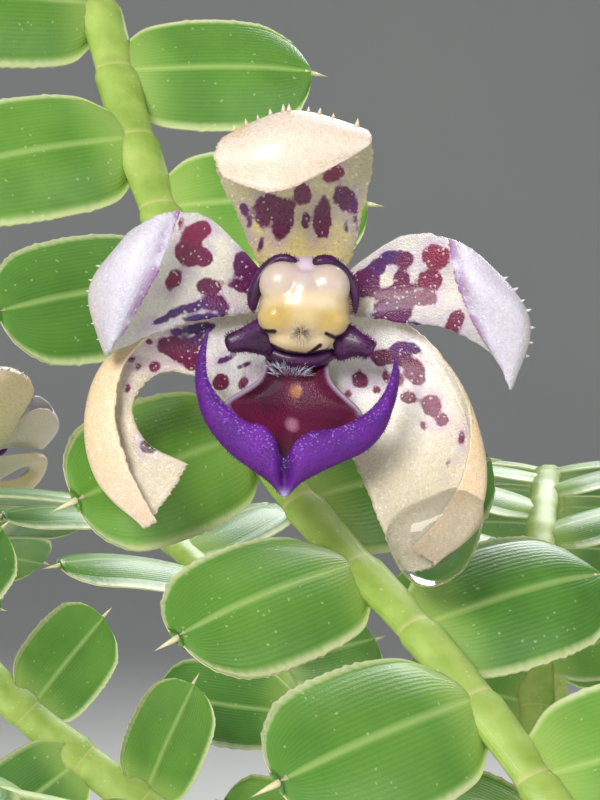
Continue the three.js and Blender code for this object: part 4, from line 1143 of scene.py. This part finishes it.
dorsal_material = tissue(
    "hood_tissue",
    [(0.0, "e2cf7c"), (0.16, "e6d690"), (0.34, "d9cda0"), (0.60, "dcd0b0"), (1.0, "e6dcc8")],
    [(0.0, "d8cf9c"), (0.45, "e9d3ac"), (0.62, "edcfa6"), (0.78, "f3e2d2"), (1.0, "eed8c2")],
    ("9f9a80", 0.5), 0.32, ("f3d9c8", 0.4), 0.40,
)
petal_material = tissue(
    "wing_tissue",
    [(0.0, "dcd6bc"), (0.15, "e6e1cf"), (0.35, "e6e1d6"), (0.55, "e0dacd"), (1.0, "dccfde")],
    [(0.0, "d8d0c4"), (0.45, "ecd6bf"), (0.56, "e8dbd6"), (0.74, "dbd4e0"), (1.0, "dcd5e8")],
    ("c2bfc2", 0.6), 0.40, ("8a2a90", 0.7), 0.22,
)
lateral_material = tissue(
    "side_tissue",
    [(0.0, "f2f4f4"), (0.22, "f0ece8"), (0.42, "e9dfd0"), (0.62, "dccfb2"), (1.0, "ded2bb")],
    [(0.0, "e2d8c4"), (0.35, "f0d8b8"), (0.60, "efd2a6"), (1.0, "f2dcc2")],
    ("b5a98e", 0.4), 0.36, ("e6bda0", 0.4), 0.18,
)
print("tissues:", dorsal_material.name, petal_material.name, lateral_material.name)

# %% [markdown]
# The lip is an anchor. A narrow claw widens into a glossy maroon hollow with thin lilac sides, and round
# the front of the hollow stands a thick velvet crescent that ends in two horns. The crescent is a loft
# of pillow-shaped sections, notched at its middle; the hollow is a woven sheet; many tiny
# papillae make the velvet's fringe.

# %% Build the lip
LIP_INNER = [
    (-4.30, -0.40), (-4.43, -1.57), (-4.34, -2.63), (-3.88, -3.47), (-3.19, -4.16), (-2.49, -4.70),
    (-1.80, -4.85), (-1.29, -5.40), (-0.88, -6.28), (-0.23, -5.45), (0.42, -5.10), (1.34, -4.99),
    (2.36, -4.57), (3.19, -3.97), (3.79, -3.14), (4.11, -2.17), (4.25, -1.65),
]
LIP_OUTER = [
    (-4.42, -0.40), (-4.85, -1.85), (-4.90, -3.00), (-4.62, -4.25), (-4.11, -5.17), (-3.28, -6.10),
    (-2.36, -6.79), (-1.52, -7.39), (-0.84, -8.05), (-0.14, -7.44), (0.69, -6.98), (1.71, -6.51),
    (2.73, -6.05), (3.60, -5.22), (4.11, -4.02), (4.39, -2.77), (4.33, -1.65),
]
LIP_FORWARD = [1.5, 2.1, 2.6, 3.0, 3.4, 3.8, 4.1, 4.3, 4.1, 4.3, 4.15, 3.9, 3.6, 3.2, 2.8, 2.3, 1.8]
LIP_NOTCH = 0.5  # the share of the way from horn to horn where the notch lies
LIP_HOLLOW = [
    [(-1.7, -1.5, 0.2), (-0.9, -1.5, 0.0), (-0.3, -1.5, -0.1), (0.4, -1.5, 0.0), (1.2, -1.6, 0.2)],
    [(-2.0, -2.7, 1.4), (-1.2, -2.6, 0.6), (-0.4, -2.6, 0.3), (0.4, -2.7, 0.6), (1.3, -2.8, 1.4)],
    [(-3.6, -3.95, 2.8), (-2.2, -3.9, 1.5), (-0.5, -4.0, 0.9), (1.1, -4.0, 1.5), (2.65, -4.25, 2.8)],
    [(-3.2, -4.5, 3.2), (-2.1, -5.0, 2.6), (-0.6, -5.4, 2.4), (0.8, -5.1, 2.6), (2.7, -4.6, 3.2)],
    [(-2.5, -5.1, 3.7), (-1.8, -5.6, 3.7), (-0.85, -6.6, 3.8), (0.3, -5.8, 3.7), (2.3, -5.0, 3.6)],
]


def velvet_edge(pile, draw, rings, sides, papillae):
    """The thick crescent: pillow-shaped sections between its inner and its outer line."""
    t = np.linspace(0, 1, rings + 1)
    near, far = (
        Curve([(r, -f, u) for (r, u), f in zip(line, LIP_FORWARD)]).at(t)
        for line in (LIP_INNER, LIP_OUTER)
    )
    middle, reach = (near + far) / 2, (far - near) / 2
    half = np.linalg.norm(reach, axis=1)
    notch = np.exp(-(((t - LIP_NOTCH) / 0.030) ** 2))
    turn = 2 * np.pi * np.arange(sides) / sides
    wide, deep = np.cos(turn), np.sin(turn)
    depth = np.minimum(half, 0.5)[:, None] * (1 - 0.5 * notch[:, None] * (deep > 0))
    lift = depth * deep + 0.16 * np.minimum(half, 0.6)[:, None] * np.clip(-wide, 0, 1) ** 2
    lift -= 0.32 * notch[:, None] * np.clip(0.8 - np.abs(wide), 0, 1)
    shape = middle[:, None] + reach[:, None] * wide[None, :, None] + lift[..., None] * np.array([0, -1.0, 0])
    pale = np.outer(np.exp(-(((t - LIP_NOTCH) / 0.018) ** 2)), smoothstep(wide, 0.45, 1.0))
    # Painted shade: the inner side of the notch's crease is darkened in the colour.
    dusky = np.outer(notch, smoothstep(wide, 0.7, -0.6))
    horn = np.repeat(np.maximum(smoothstep(t, 0.16, 0.0), smoothstep(t, 0.88, 1.0)), sides)
    values = {"rim": np.tile(wide, rings + 1), "pale": pale, "dusky": dusky, "horn": horn}
    pile.add(shape.reshape(-1, 3), tube_faces(rings + 1, sides), hollow=0.0, spot=NO_STAIN, **values)
    for _ in range(papillae):
        i, k = int(draw(0.04, 0.97) * rings), int(draw(0, sides)) % sides
        out = unit(shape[i, k] - middle[i])
        if out[1] > 0.3:
            continue
        lean = out + [draw(-0.3, 0.3) for _ in range(3)]
        papilla = {"rim": wide[k], "pale": pale[i, k], "dusky": dusky[i, k], "horn": 0.0, "hollow": 0.0}
        cone(pile, shape[i, k], lean, draw(0.05, 0.12), 0.026, 3, spot=NO_STAIN, **papilla)


def lip(pile, seed, rings=160, sides=28, papillae=2200):
    velvet_edge(pile, seeded_draw(seed), rings, sides, papillae)
    rows, columns = 60, 60
    middle = woven(np.array([[(r, -f, u) for r, u, f in row] for row in LIP_HOLLOW]), rows, columns)
    normal = unit(np.cross(np.gradient(middle, axis=0), np.gradient(middle, axis=1)))
    normal *= -np.sign(normal[rows // 2, columns // 2, 1])
    s, across = np.meshgrid(np.linspace(0, 1, rows + 1), np.linspace(0, 1, columns + 1), indexing="ij")
    side = smoothstep(np.abs(2 * across - 1), 0.91, 0.98)
    thick = 0.16 - 0.08 * side
    inner, outer = middle + normal * thick[..., None], middle - normal * thick[..., None]
    marks = [(-0.32, -3.35, 0.28, 0.30, 0, 0.0), (-0.5, -4.95, 0.32, 0.26, -25, 0.8)]
    spot, hue = stain_field(middle[..., 0], middle[..., 2], marks)
    values = {"rim": both(hue), "pale": both(side * (1 - smoothstep(s, 0.55, 0.75))), "spot": both(spot)}
    points = np.vstack([inner.reshape(-1, 3), outer.reshape(-1, 3)])
    pile.add(points, sheet_faces(rows, columns), dusky=0.0, horn=0.0, hollow=1.0, **values)


def paint_lip():
    paint = Painter(
        "velvet_lip", Coat_Roughness=0.12, Sheen_Weight=0.03, Sheen_Roughness=0.35,
        Subsurface_Weight=0.08, Subsurface_Scale=0.0004,
    )
    paint.shader.inputs["Sheen Tint"].default_value = tint("c39aec")
    rim, pale, hollow = paint.value("rim"), paint.value("pale"), paint.value("hollow")
    cells = paint.group(CELLS, Scale=15000.0, Glints=0.09)
    folds = paint.group(MOTTLE, Light=tint("740ca4"), Dark=tint("3e0568"), Scale=700.0, Contrast=1.8)
    velvet = paint.mix(paint.mask(rim, -0.2, 0.9), folds["Color"], tint("5c0a80"))
    # Painted shade darkens the inner side of the notch's crease.
    velvet = paint.mix(paint.math("MULTIPLY", paint.value("dusky"), 0.75), velvet, tint("2a0d4a"))
    velvet = paint.mix(paint.math("MULTIPLY", paint.value("horn"), 0.7), velvet, tint("4c1c62"))
    velvet = paint.mix(paint.math("MULTIPLY", pale, 0.9), velvet, tint("cfc6f2"))
    # Painted highlight: glints whitened into the colour on the crescent's inner side.
    painted_lip_glints = paint.math("MULTIPLY", cells["Glint"], paint.mask(rim, 0.4, -0.9))
    velvet = paint.mix(paint.math("MULTIPLY", painted_lip_glints, 0.5), velvet, tint("b99af0"))
    wine = paint.group(MOTTLE, Light=tint("700a3c"), Dark=tint("40042a"), Scale=500.0, Contrast=1.8)
    mark = paint.group(STAIN, Distance=paint.value("spot"), Raggedness=0.2, Softness=0.16)
    glow = paint.ramp(rim, (0.0, "b97a4a"), (0.8, "b57a94"))
    cup = paint.mix(paint.math("MULTIPLY", mark["Mask"], 0.85), wine["Color"], glow)
    cup = paint.mix(paint.math("MULTIPLY", pale, 0.85), cup, tint("a99ab4"))
    paint.feed(Base_Color=paint.mix(hollow, velvet, cup))
    paint.feed(Roughness=paint.math("MULTIPLY_ADD", hollow, -0.26, 0.60))
    paint.feed(Coat_Weight=paint.math("MULTIPLY", hollow, 0.35))
    paint.bump(cells["Height"], 0.5, 0.00006)
    return paint.material


lip_material = paint_lip()
print("lip sections:", len(LIP_INNER))

# %% [markdown]
# The column is the waxy face of the flower. Its domes and lobes flow into each other like warm wax, so
# balls are joined, remeshed as one skin with small voxels and smoothed. Dark hairy brows arch over the
# domes, two dark arms reach to the sides, and a dark collar lies below. Markings on the wax are again
# distances kept on the points.

# %% Build the column
COLUMN_LOBES = [
    ((0.05, 0.5, 1.5), (2.1, 1.7, 1.7)), ((-0.95, 1.62, 2.0), (1.1, 1.05, 1.0)),
    ((1.1, 1.5, 2.0), (1.08, 1.05, 1.0)), ((-1.12, 0.1, 1.95), (0.98, 0.9, 0.95)),
    ((1.15, -0.02, 1.95), (0.98, 0.9, 0.95)), ((-0.05, -0.85, 1.6), (1.55, 0.75, 0.95)),
    ((0.05, 0.9, 2.35), (0.95, 1.3, 0.8)), ((0.05, 2.2, 1.3), (1.7, 0.75, 1.0)),
]
BROWS = [
    [
        (-2.3, 0.35, 1.5), (-2.28, 1.0, 1.7), (-2.02, 1.75, 1.8), (-1.6, 2.37, 1.8),
        (-1.07, 2.74, 1.8), (-0.5, 2.68, 1.9), (-0.22, 2.4, 2.0),
    ],
    [
        (0.42, 2.35, 2.0), (0.7, 2.6, 1.9), (1.2, 2.62, 1.8), (1.75, 2.3, 1.8),
        (2.15, 1.75, 1.8), (2.38, 1.1, 1.7), (2.4, 0.25, 1.5),
    ],
]
ARMS = [
    [(-1.3, -0.75, 1.2), (-2.0, -0.8, 1.4), (-2.75, -0.95, 1.6), (-3.2, -1.08, 1.65), (-3.55, -1.2, 1.7)],
    [(1.4, -1.0, 1.2), (2.0, -1.02, 1.4), (2.6, -1.15, 1.6), (2.95, -1.3, 1.65), (3.25, -1.45, 1.7)],
]
COLLAR = [(-1.9, -1.25, 0.7), (-1.0, -1.7, 0.95), (-0.2, -1.85, 1.05), (0.6, -1.8, 0.95), (1.6, -1.4, 0.7)]
BROW_FORM = {
    "widths": (0.20, 0.32, 0.32, 0.28, 0.22, 0.14), "depths": (0.3, 0.45, 0.45, 0.35, 0.3, 0.2),
    "rings": 48, "sides": 12, "hairs": 320, "hair_length": 0.14,
}
ARM_FORM = {
    "widths": (1.0, 0.85, 0.55, 0.46, 0.40), "depths": (0.4, 0.4, 0.34, 0.3, 0.22),
    "rings": 36, "sides": 20, "hairs": 320, "hair_length": 0.18,
}
STIGMA_HAIRS = 150
COLLAR_FORM = {
    "widths": (0.35, 0.4, 0.4, 0.4, 0.35), "depths": (0.5, 0.5, 0.5, 0.5, 0.5),
    "rings": 30, "sides": 12, "hairs": 0, "hair_length": 0.1,
}
WAX_LINES = [
    [(-2.1, -0.3), (-1.85, -0.52), (-1.3, -0.58)], [(1.05, -0.68), (1.5, -0.85), (1.95, -0.7), (2.1, -0.45)],
    [(0.2, -1.6), (0.8, -1.2)], [(-1.5, -1.15), (-0.8, -1.5), (0.2, -1.62), (1.2, -1.4), (1.8, -1.1)],
]


def melted(points_and_sizes, voxel, rounds):
    """Balls joined, remeshed as one skin and smoothed. Returns points in mm, and faces."""
    pile = Pile()
    sides, rings = 28, 17
    turn, rise = np.meshgrid(2 * np.pi * np.arange(sides) / sides, np.linspace(0.06, np.pi - 0.06, rings))
    girth = np.sin(rise)
    for (r, u, f), (a, b, c) in points_and_sizes:
        shell = np.stack([a * girth * np.cos(turn), c * girth * np.sin(turn), b * np.cos(rise)], axis=-1)
        pile.add(shell.reshape(-1, 3)[::-1] + [r, -f, u], tube_faces(rings, sides))
    lump = pile.make("lump")
    remesh = lump.modifiers.new("remesh", "REMESH")
    remesh.mode = "VOXEL"
    remesh.voxel_size = voxel * MM
    smooth = lump.modifiers.new("smooth", "SMOOTH")
    smooth.iterations = rounds
    bpy.context.view_layer.update()
    mesh = bpy.data.meshes.new_from_object(lump.evaluated_get(bpy.context.evaluated_depsgraph_get()))
    points = np.array([v.co for v in mesh.vertices]) / MM
    faces = [list(p.vertices) for p in mesh.polygons]
    bpy.data.objects.remove(lump)
    bpy.data.meshes.remove(mesh)
    return points, faces


def line_distance(right, up, lines):
    """Distance in mm from points in the front view to the nearest of some lines."""
    best = np.full(right.shape, 9.0)
    for line in lines:
        for (x0, y0), (x1, y1) in zip(line, line[1:]):
            along = np.array([x1 - x0, y1 - y0])
            share = np.clip(((right - x0) * along[0] + (up - y0) * along[1]) / along.dot(along), 0, 1)
            best = np.minimum(best, np.hypot(right - x0 - share * along[0], up - y0 - share * along[1]))
    return best


def fleshy_tube(pile, points, widths, depths, rings, sides, draw, hairs, hair_length, **values):
    """An oval tube with a coat of short hairs."""
    curve = Curve([(r, -f, u) for r, u, f in points])
    t = np.linspace(0, 1, rings + 1)
    centres, tangents = curve.at(t), curve.tangent(t)
    stations = np.linspace(0, 1, len(widths))
    forward = unit(np.array([0, -1.0, 0]) - tangents * (tangents @ [0, -1.0, 0])[:, None])
    side = np.cross(tangents, forward)
    turn = 2 * np.pi * np.arange(sides) / sides
    wide = np.interp(t, stations, widths)
    deep = np.interp(t, stations, depths)
    close = np.sqrt(np.clip(1 - (np.abs(2 * t - 1)) ** 8, 0.02, 1))
    shape = centres[:, None] + (wide * close)[:, None, None] * np.cos(turn)[None, :, None] * side[:, None]
    shape = shape + (deep * close)[:, None, None] * np.sin(turn)[None, :, None] * forward[:, None]
    pile.add(shape.reshape(-1, 3), tube_faces(rings + 1, sides), **values)
    for _ in range(hairs):
        i, k = int(draw(0, rings)), int(draw(0, sides)) % sides
        out = unit(shape[i, k] - centres[i]) + [draw(-0.4, 0.4) for _ in range(3)]
        cone(pile, shape[i, k], out, hair_length * draw(0.6, 1.3), 0.022, 3, **values)


def column(pile, seed):
    draw = seeded_draw(seed)
    points, faces = melted(COLUMN_LOBES, 0.10, 9)
    right, up = points[:, 0], points[:, 2]
    front = points[points[:, 1] < -1.9]
    cheeks = ((-1.2, 0.08), (1.25, -0.05))
    ochre = sum(np.exp(-(((right - x) / 0.95) ** 2 + ((up - y) / 0.55) ** 4)) for x, y in cheeks)
    lavender = np.exp(-(((right - 0.08) / 0.45) ** 2 + ((up - 2.5) / 0.6) ** 2))
    pearl = smoothstep(up, 0.9, 1.5)
    marks = line_distance(right, up, WAX_LINES) - 0.09
    wax = {"ochre": np.clip(ochre, 0, 1), "lavender": lavender, "spot": marks}
    pile.add(points, faces, **wax, dark=0.0, tuft=0.0, pearl=pearl)
    plain = {"ochre": 0.0, "lavender": 0.0, "spot": NO_STAIN, "tuft": 0.0, "pearl": 0.0}
    dark_parts = [(brow, BROW_FORM) for brow in BROWS] + [(arm, ARM_FORM) for arm in ARMS]
    for line, form in [*dark_parts, (COLLAR, COLLAR_FORM)]:
        fleshy_tube(pile, line, draw=draw, **form, dark=1.0, **plain)
    for _ in range(STIGMA_HAIRS):
        spread, turn = draw() ** 0.5, draw(0, FULL_TURN)
        inner = spread < 0.45
        out = np.array([math.cos(turn) * (0.3 + spread), -0.5, math.sin(turn) * (0.3 + spread)])
        place = np.array([-0.1 + 0.4 * spread * math.cos(turn), -0.68 + 0.35 * spread * math.sin(turn)])
        foot = front[np.argmin(np.hypot(*(front[:, [0, 2]] - place).T))]
        cone(pile, foot, out, draw(0.2, 0.42), 0.02, 3, dark=0.9 * inner, **{**plain, "tuft": 1.0})


def paint_column():
    paint = Painter("waxy_column", Subsurface_Weight=0.3, Subsurface_Scale=0.0009, Coat_Roughness=0.08)
    paint.shader.inputs["Subsurface Radius"].default_value = (1.0, 0.8, 0.6)
    cells = paint.group(CELLS, Scale=9000.0, Glints=0.03)
    wax = paint.group(MOTTLE, Light=tint("ecd9b8"), Dark=tint("d6ba88"), Scale=650.0, Contrast=1.6)
    pearly = paint.mix(paint.value("pearl"), wax["Color"], tint("d0bcae"))
    colour = paint.mix(paint.math("MULTIPLY", paint.value("ochre"), 0.9), pearly, tint("c2a347"))
    colour = paint.mix(paint.value("lavender"), colour, tint("d9c3d6"))
    line = paint.group(STAIN, Distance=paint.value("spot"), Raggedness=0.12, Softness=0.05)
    colour = paint.mix(line["Mask"], colour, tint("2c0624"))
    violet = paint.group(MOTTLE, Light=tint("55125c"), Dark=tint("1a0318"), Scale=1100.0, Contrast=2.0)
    colour = paint.mix(paint.value("tuft"), colour, tint("e8e0c8"))
    paint.feed(Base_Color=paint.mix(paint.value("dark"), colour, violet["Color"]))
    paint.feed(Roughness=paint.math("MULTIPLY_ADD", paint.value("dark"), 0.1, 0.34))
    paint.feed(Coat_Weight=paint.math("MULTIPLY_ADD", paint.value("dark"), -0.25, 0.4))
    paint.bump(cells["Height"], 0.16, 0.00004)
    return paint.material


column_material = paint_column()
print("column lobes:", len(COLUMN_LOBES))

# %% [markdown]
# Behind the bloom hides its stalk: a ribbed ovary set with soft bristles, and a thin pedicel that curves
# back to the shoot. It shows from the side and the back.

# %% Build the stalk
OVARY = {"start": 2.0, "bristles": 130, "length": 0.75}


def stalk(pile, seat, seat_normal, seed):
    draw = seeded_draw(seed)
    start = np.array([0, OVARY["start"], 0])
    end = seat + seat_normal * (STEM["half_depth"] + GAP)
    reach = np.linalg.norm(end - start)
    behind = [0, OVARY["start"] + 0.3 * reach, -0.1 * reach]
    curve = Curve([start, behind, end + seat_normal * 0.3 * reach, end])
    curve.measure()
    rings, sides = 60, 18
    t = np.linspace(0, 1, rings + 1)
    shares = curve.share_at(t * curve.lengths[-1])
    centres, tangents = curve.at(shares), curve.tangent(shares)
    radius = np.interp(t, [0, 0.12, 0.35, 0.58, 0.72, 0.86, 1], [0.6, 0.9, 0.95, 0.75, 0.5, 0.45, 0.55])
    look = np.array([0.3, 0.2, 1.0])
    normal = unit(look - tangents * (tangents @ look)[:, None])
    side = np.cross(tangents, normal)
    turn = 2 * np.pi * np.arange(sides) / sides
    rib = 1 + 0.07 * np.cos(6 * turn)
    girth = radius[:, None] * rib
    shape = centres[:, None] + (girth * np.cos(turn))[..., None] * side[:, None]
    shape = shape + (girth * np.sin(turn))[..., None] * normal[:, None]
    pile.add(shape.reshape(-1, 3), tube_faces(rings + 1, sides), tone=0.3)
    for i in range(OVARY["bristles"]):
        row = int(rings * (0.04 + 0.5 * (i + 0.5) / OVARY["bristles"]))
        k = int(i * 0.381966 * sides) % sides
        foot = shape[row, k]
        cone(pile, foot, foot - centres[row], OVARY["length"] * draw(0.6, 1.05), 0.07, 5, tone=1.0)


def paint_stalk():
    paint = Painter("ovary_skin", Roughness=0.5, Subsurface_Weight=0.2, Subsurface_Scale=0.0006)
    skin = paint.group(MOTTLE, Light=tint("b9c47c"), Dark=tint("7f9448"), Scale=800.0, Contrast=1.8)
    cells = paint.group(CELLS, Scale=7000.0, Glints=0.02)
    paint.feed(Base_Color=paint.mix(paint.mask(paint.value("tone"), 0.5, 1.0), skin["Color"], tint("e6e2bc")))
    paint.bump(cells["Height"], 0.3, 0.00005)
    return paint.material


stalk_material = paint_stalk()
print("stalk ready")

# %% [markdown]
# A bloom is all these pieces in the place of their solids. The main one is made from dense grids, the two
# others from lighter ones. Each bloom has its own axes: to its right, straight back, and up.

# %% Put the blooms together
CRESTS = {  # the way that the warts point, their places across the piece, and their length
    "dorsal_sepal": ((0, -0.15, 1), (0.10, 0.19, 0.30, 0.37, 0.46, 0.50, 0.60, 0.68, 0.80, 0.93), 0.30),
    "petal_a": ((-1, -0.2, 0.2), (0.3, 0.42, 0.5, 0.62, 0.75, 0.88), 0.16),
    "petal_b": ((1, -0.2, 0.2), (0.16, 0.28, 0.38, 0.46, 0.56, 0.68, 0.8), 0.24),
}
TEPALS = [  # node, grid, stains, material, slot and seed of each
    ("dorsal_sepal", DORSAL_SEPAL, DORSAL_STAINS, dorsal_material, "sepal", 11),
    ("petal_a", LEFT_PETAL, LEFT_PETAL_STAINS, petal_material, "petal", 12),
    ("petal_b", RIGHT_PETAL, RIGHT_PETAL_STAINS, petal_material, "petal", 13),
    ("lateral_sepal_a", LEFT_LATERAL_SEPAL, LEFT_LATERAL_STAINS, lateral_material, "sepal", 14),
    ("lateral_sepal_b", RIGHT_LATERAL_SEPAL, RIGHT_LATERAL_STAINS, lateral_material, "sepal", 15),
]
STAND_OFF = 8.2  # mm from the stem to the foot of a full-size bloom's column
SIDEWAYS = 0.6  # mm to the side of the stem
MAIN_SEAT = 0.735  # share of the main stem's length where its bloom is seated


def to_world(pile, at, basis, size, hand):
    """Turns a pile drawn in the bloom's own axes into the frame's. A mirrored one has its faces turned."""
    for i, points in enumerate(pile.points):
        pile.points[i] = (points * [hand, 1, 1]) @ basis * size + at
    if hand < 0:
        pile.faces = [face[::-1] for face in pile.faces]


def make_bloom(number, at, facing, seat, seat_normal, hand, size):
    back = -unit(facing)
    up = unit(np.array([0, 0, 1.0]) - back * back[2])
    basis = np.array([np.cross(back, up), back, up])
    local_seat = basis @ (seat - at) / size
    local_normal = basis @ seat_normal
    density = {} if number == 1 else {"rows": 44, "columns": 28}
    organs = []
    for piece, grid, stains, material, slot, seed in TEPALS:
        pile = Pile()
        tepal(pile, grid, stains, seed + 20 * number, CRESTS.get(piece), **density)
        organs.append((piece, pile, material, slot, hand))
    lip_pile, column_pile, stalk_pile = Pile(), Pile(), Pile()
    lip(lip_pile, 61 + number)
    column(column_pile, 71 + number)
    stalk(stalk_pile, local_seat, local_normal, 81 + number)
    organs += [("lip", lip_pile, lip_material, "lip", hand)]
    organs += [("column", column_pile, column_material, "column", hand)]
    organs += [("stalk", stalk_pile, stalk_material, "stalk", 1)]
    for piece, pile, material, slot, own_hand in organs:
        to_world(pile, at, basis, size, own_hand)
        node = f"bloom_{number}_{piece}"
        place_piece(pile.make(f"fine_{node}", material), slot, node)


def bloom_on_stem(number, route, share, hand, size):
    at, tangent, normal, side = route.frame(share * route.length)
    facing = unit(normal + 0.45 * tangent)
    foot = at + normal * STAND_OFF * size + side * SIDEWAYS
    make_bloom(number, foot, facing, at, normal, hand, size)


main_seat, _, main_normal, _ = routes[0].frame(MAIN_SEAT * routes[0].length)
make_bloom(1, MAIN_BLOOM, np.array([0, -1.0, 0]), main_seat, main_normal, hand=1, size=1.0)
bloom_on_stem(2, routes[1], share=0.78, hand=-1, size=0.9)
bloom_on_stem(3, routes[4], share=0.76, hand=1, size=0.9)

# %% [markdown]
# White hairs stand in a tuft at the mouth of the lip's hollow. A drop of water hangs from the tip of the
# right side sepal. Its shader lets all light through and bends it as water does; the drop is a closed
# skin round the sepal's tip, fuller at the bottom as gravity pulls it.

# %% Tuft and water drop
TUFT_HAIRS = 120
TUFT_SEED = 404
tuft = Pile()
tuft_draw = seeded_draw(TUFT_SEED)
for _ in range(TUFT_HAIRS):
    fan = tuft_draw(-1, 1)
    foot = MAIN_BLOOM + [-0.62 + 0.75 * fan, -(0.95 + 0.25 * tuft_draw()), -2.35 + 0.25 * tuft_draw(-1, 1)]
    lean = np.array([0.9 * fan + tuft_draw(-0.2, 0.2), -0.7, 0.5 + tuft_draw(-0.5, 0.4)])
    cone(tuft, foot, lean, tuft_draw(0.4, 0.75), 0.022, 3)
tuft_paint = Painter("white_hairs", Roughness=0.4, Subsurface_Weight=0.3, Subsurface_Scale=0.0003)
tuft_tone = tuft_paint.group(MOTTLE, Light=tint("f4f0fa"), Dark=tint("c9bfe0"), Scale=2500.0, Contrast=1.5)
tuft_paint.feed(Base_Color=tuft_tone["Color"])
place_piece(tuft.make("hair_tuft", tuft_paint.material), "lip")

DROP_OUTLINE = [
    (8.27, -8.3), (8.22, -9.42), (7.9, -10.6), (7.25, -11.6), (6.14, -12.24), (5.3, -12.2), (4.62, -11.7),
    (4.07, -10.8), (3.8, -9.8), (4.3, -8.9), (5.6, -8.2), (7.2, -7.7),
]
DROP_CENTRE = np.array([6.05, -10.1])
DROP_DEPTH = (1.9, 1.35)  # how far forward its middle stands, and its half thickness
DROP_SIDES, DROP_RINGS = 64, 41
drop = Pile()
outline = Curve(DROP_OUTLINE + DROP_OUTLINE[:1]).at(np.linspace(0, 1, DROP_SIDES + 1)[:-1]) - DROP_CENTRE
drop_rings = []
for tilt in np.linspace(-0.49 * np.pi, 0.49 * np.pi, DROP_RINGS):
    ring = DROP_CENTRE + outline * math.cos(tilt) ** 0.8
    forward = DROP_DEPTH[0] + DROP_DEPTH[1] * math.sin(tilt)
    front = np.stack([ring[:, 0], np.full(DROP_SIDES, -forward), ring[:, 1]], axis=-1)
    drop_rings.append(MAIN_BLOOM + front)
drop.add(np.reshape(drop_rings, (-1, 3)), tube_faces(DROP_RINGS, DROP_SIDES))
water = Painter("clear_water", Base_Color=(1, 1, 1, 1), Roughness=0.0, IOR=1.33, Transmission_Weight=1.0)
ripples = water.group(MOTTLE, Light=tint("ffffff"), Dark=tint("f2fbfa"), Scale=300.0, Contrast=1.0)
water.feed(Base_Color=ripples["Color"])
place_piece(drop.make("water_drop", water.material), "sepal")
print("drop points:", drop.count)
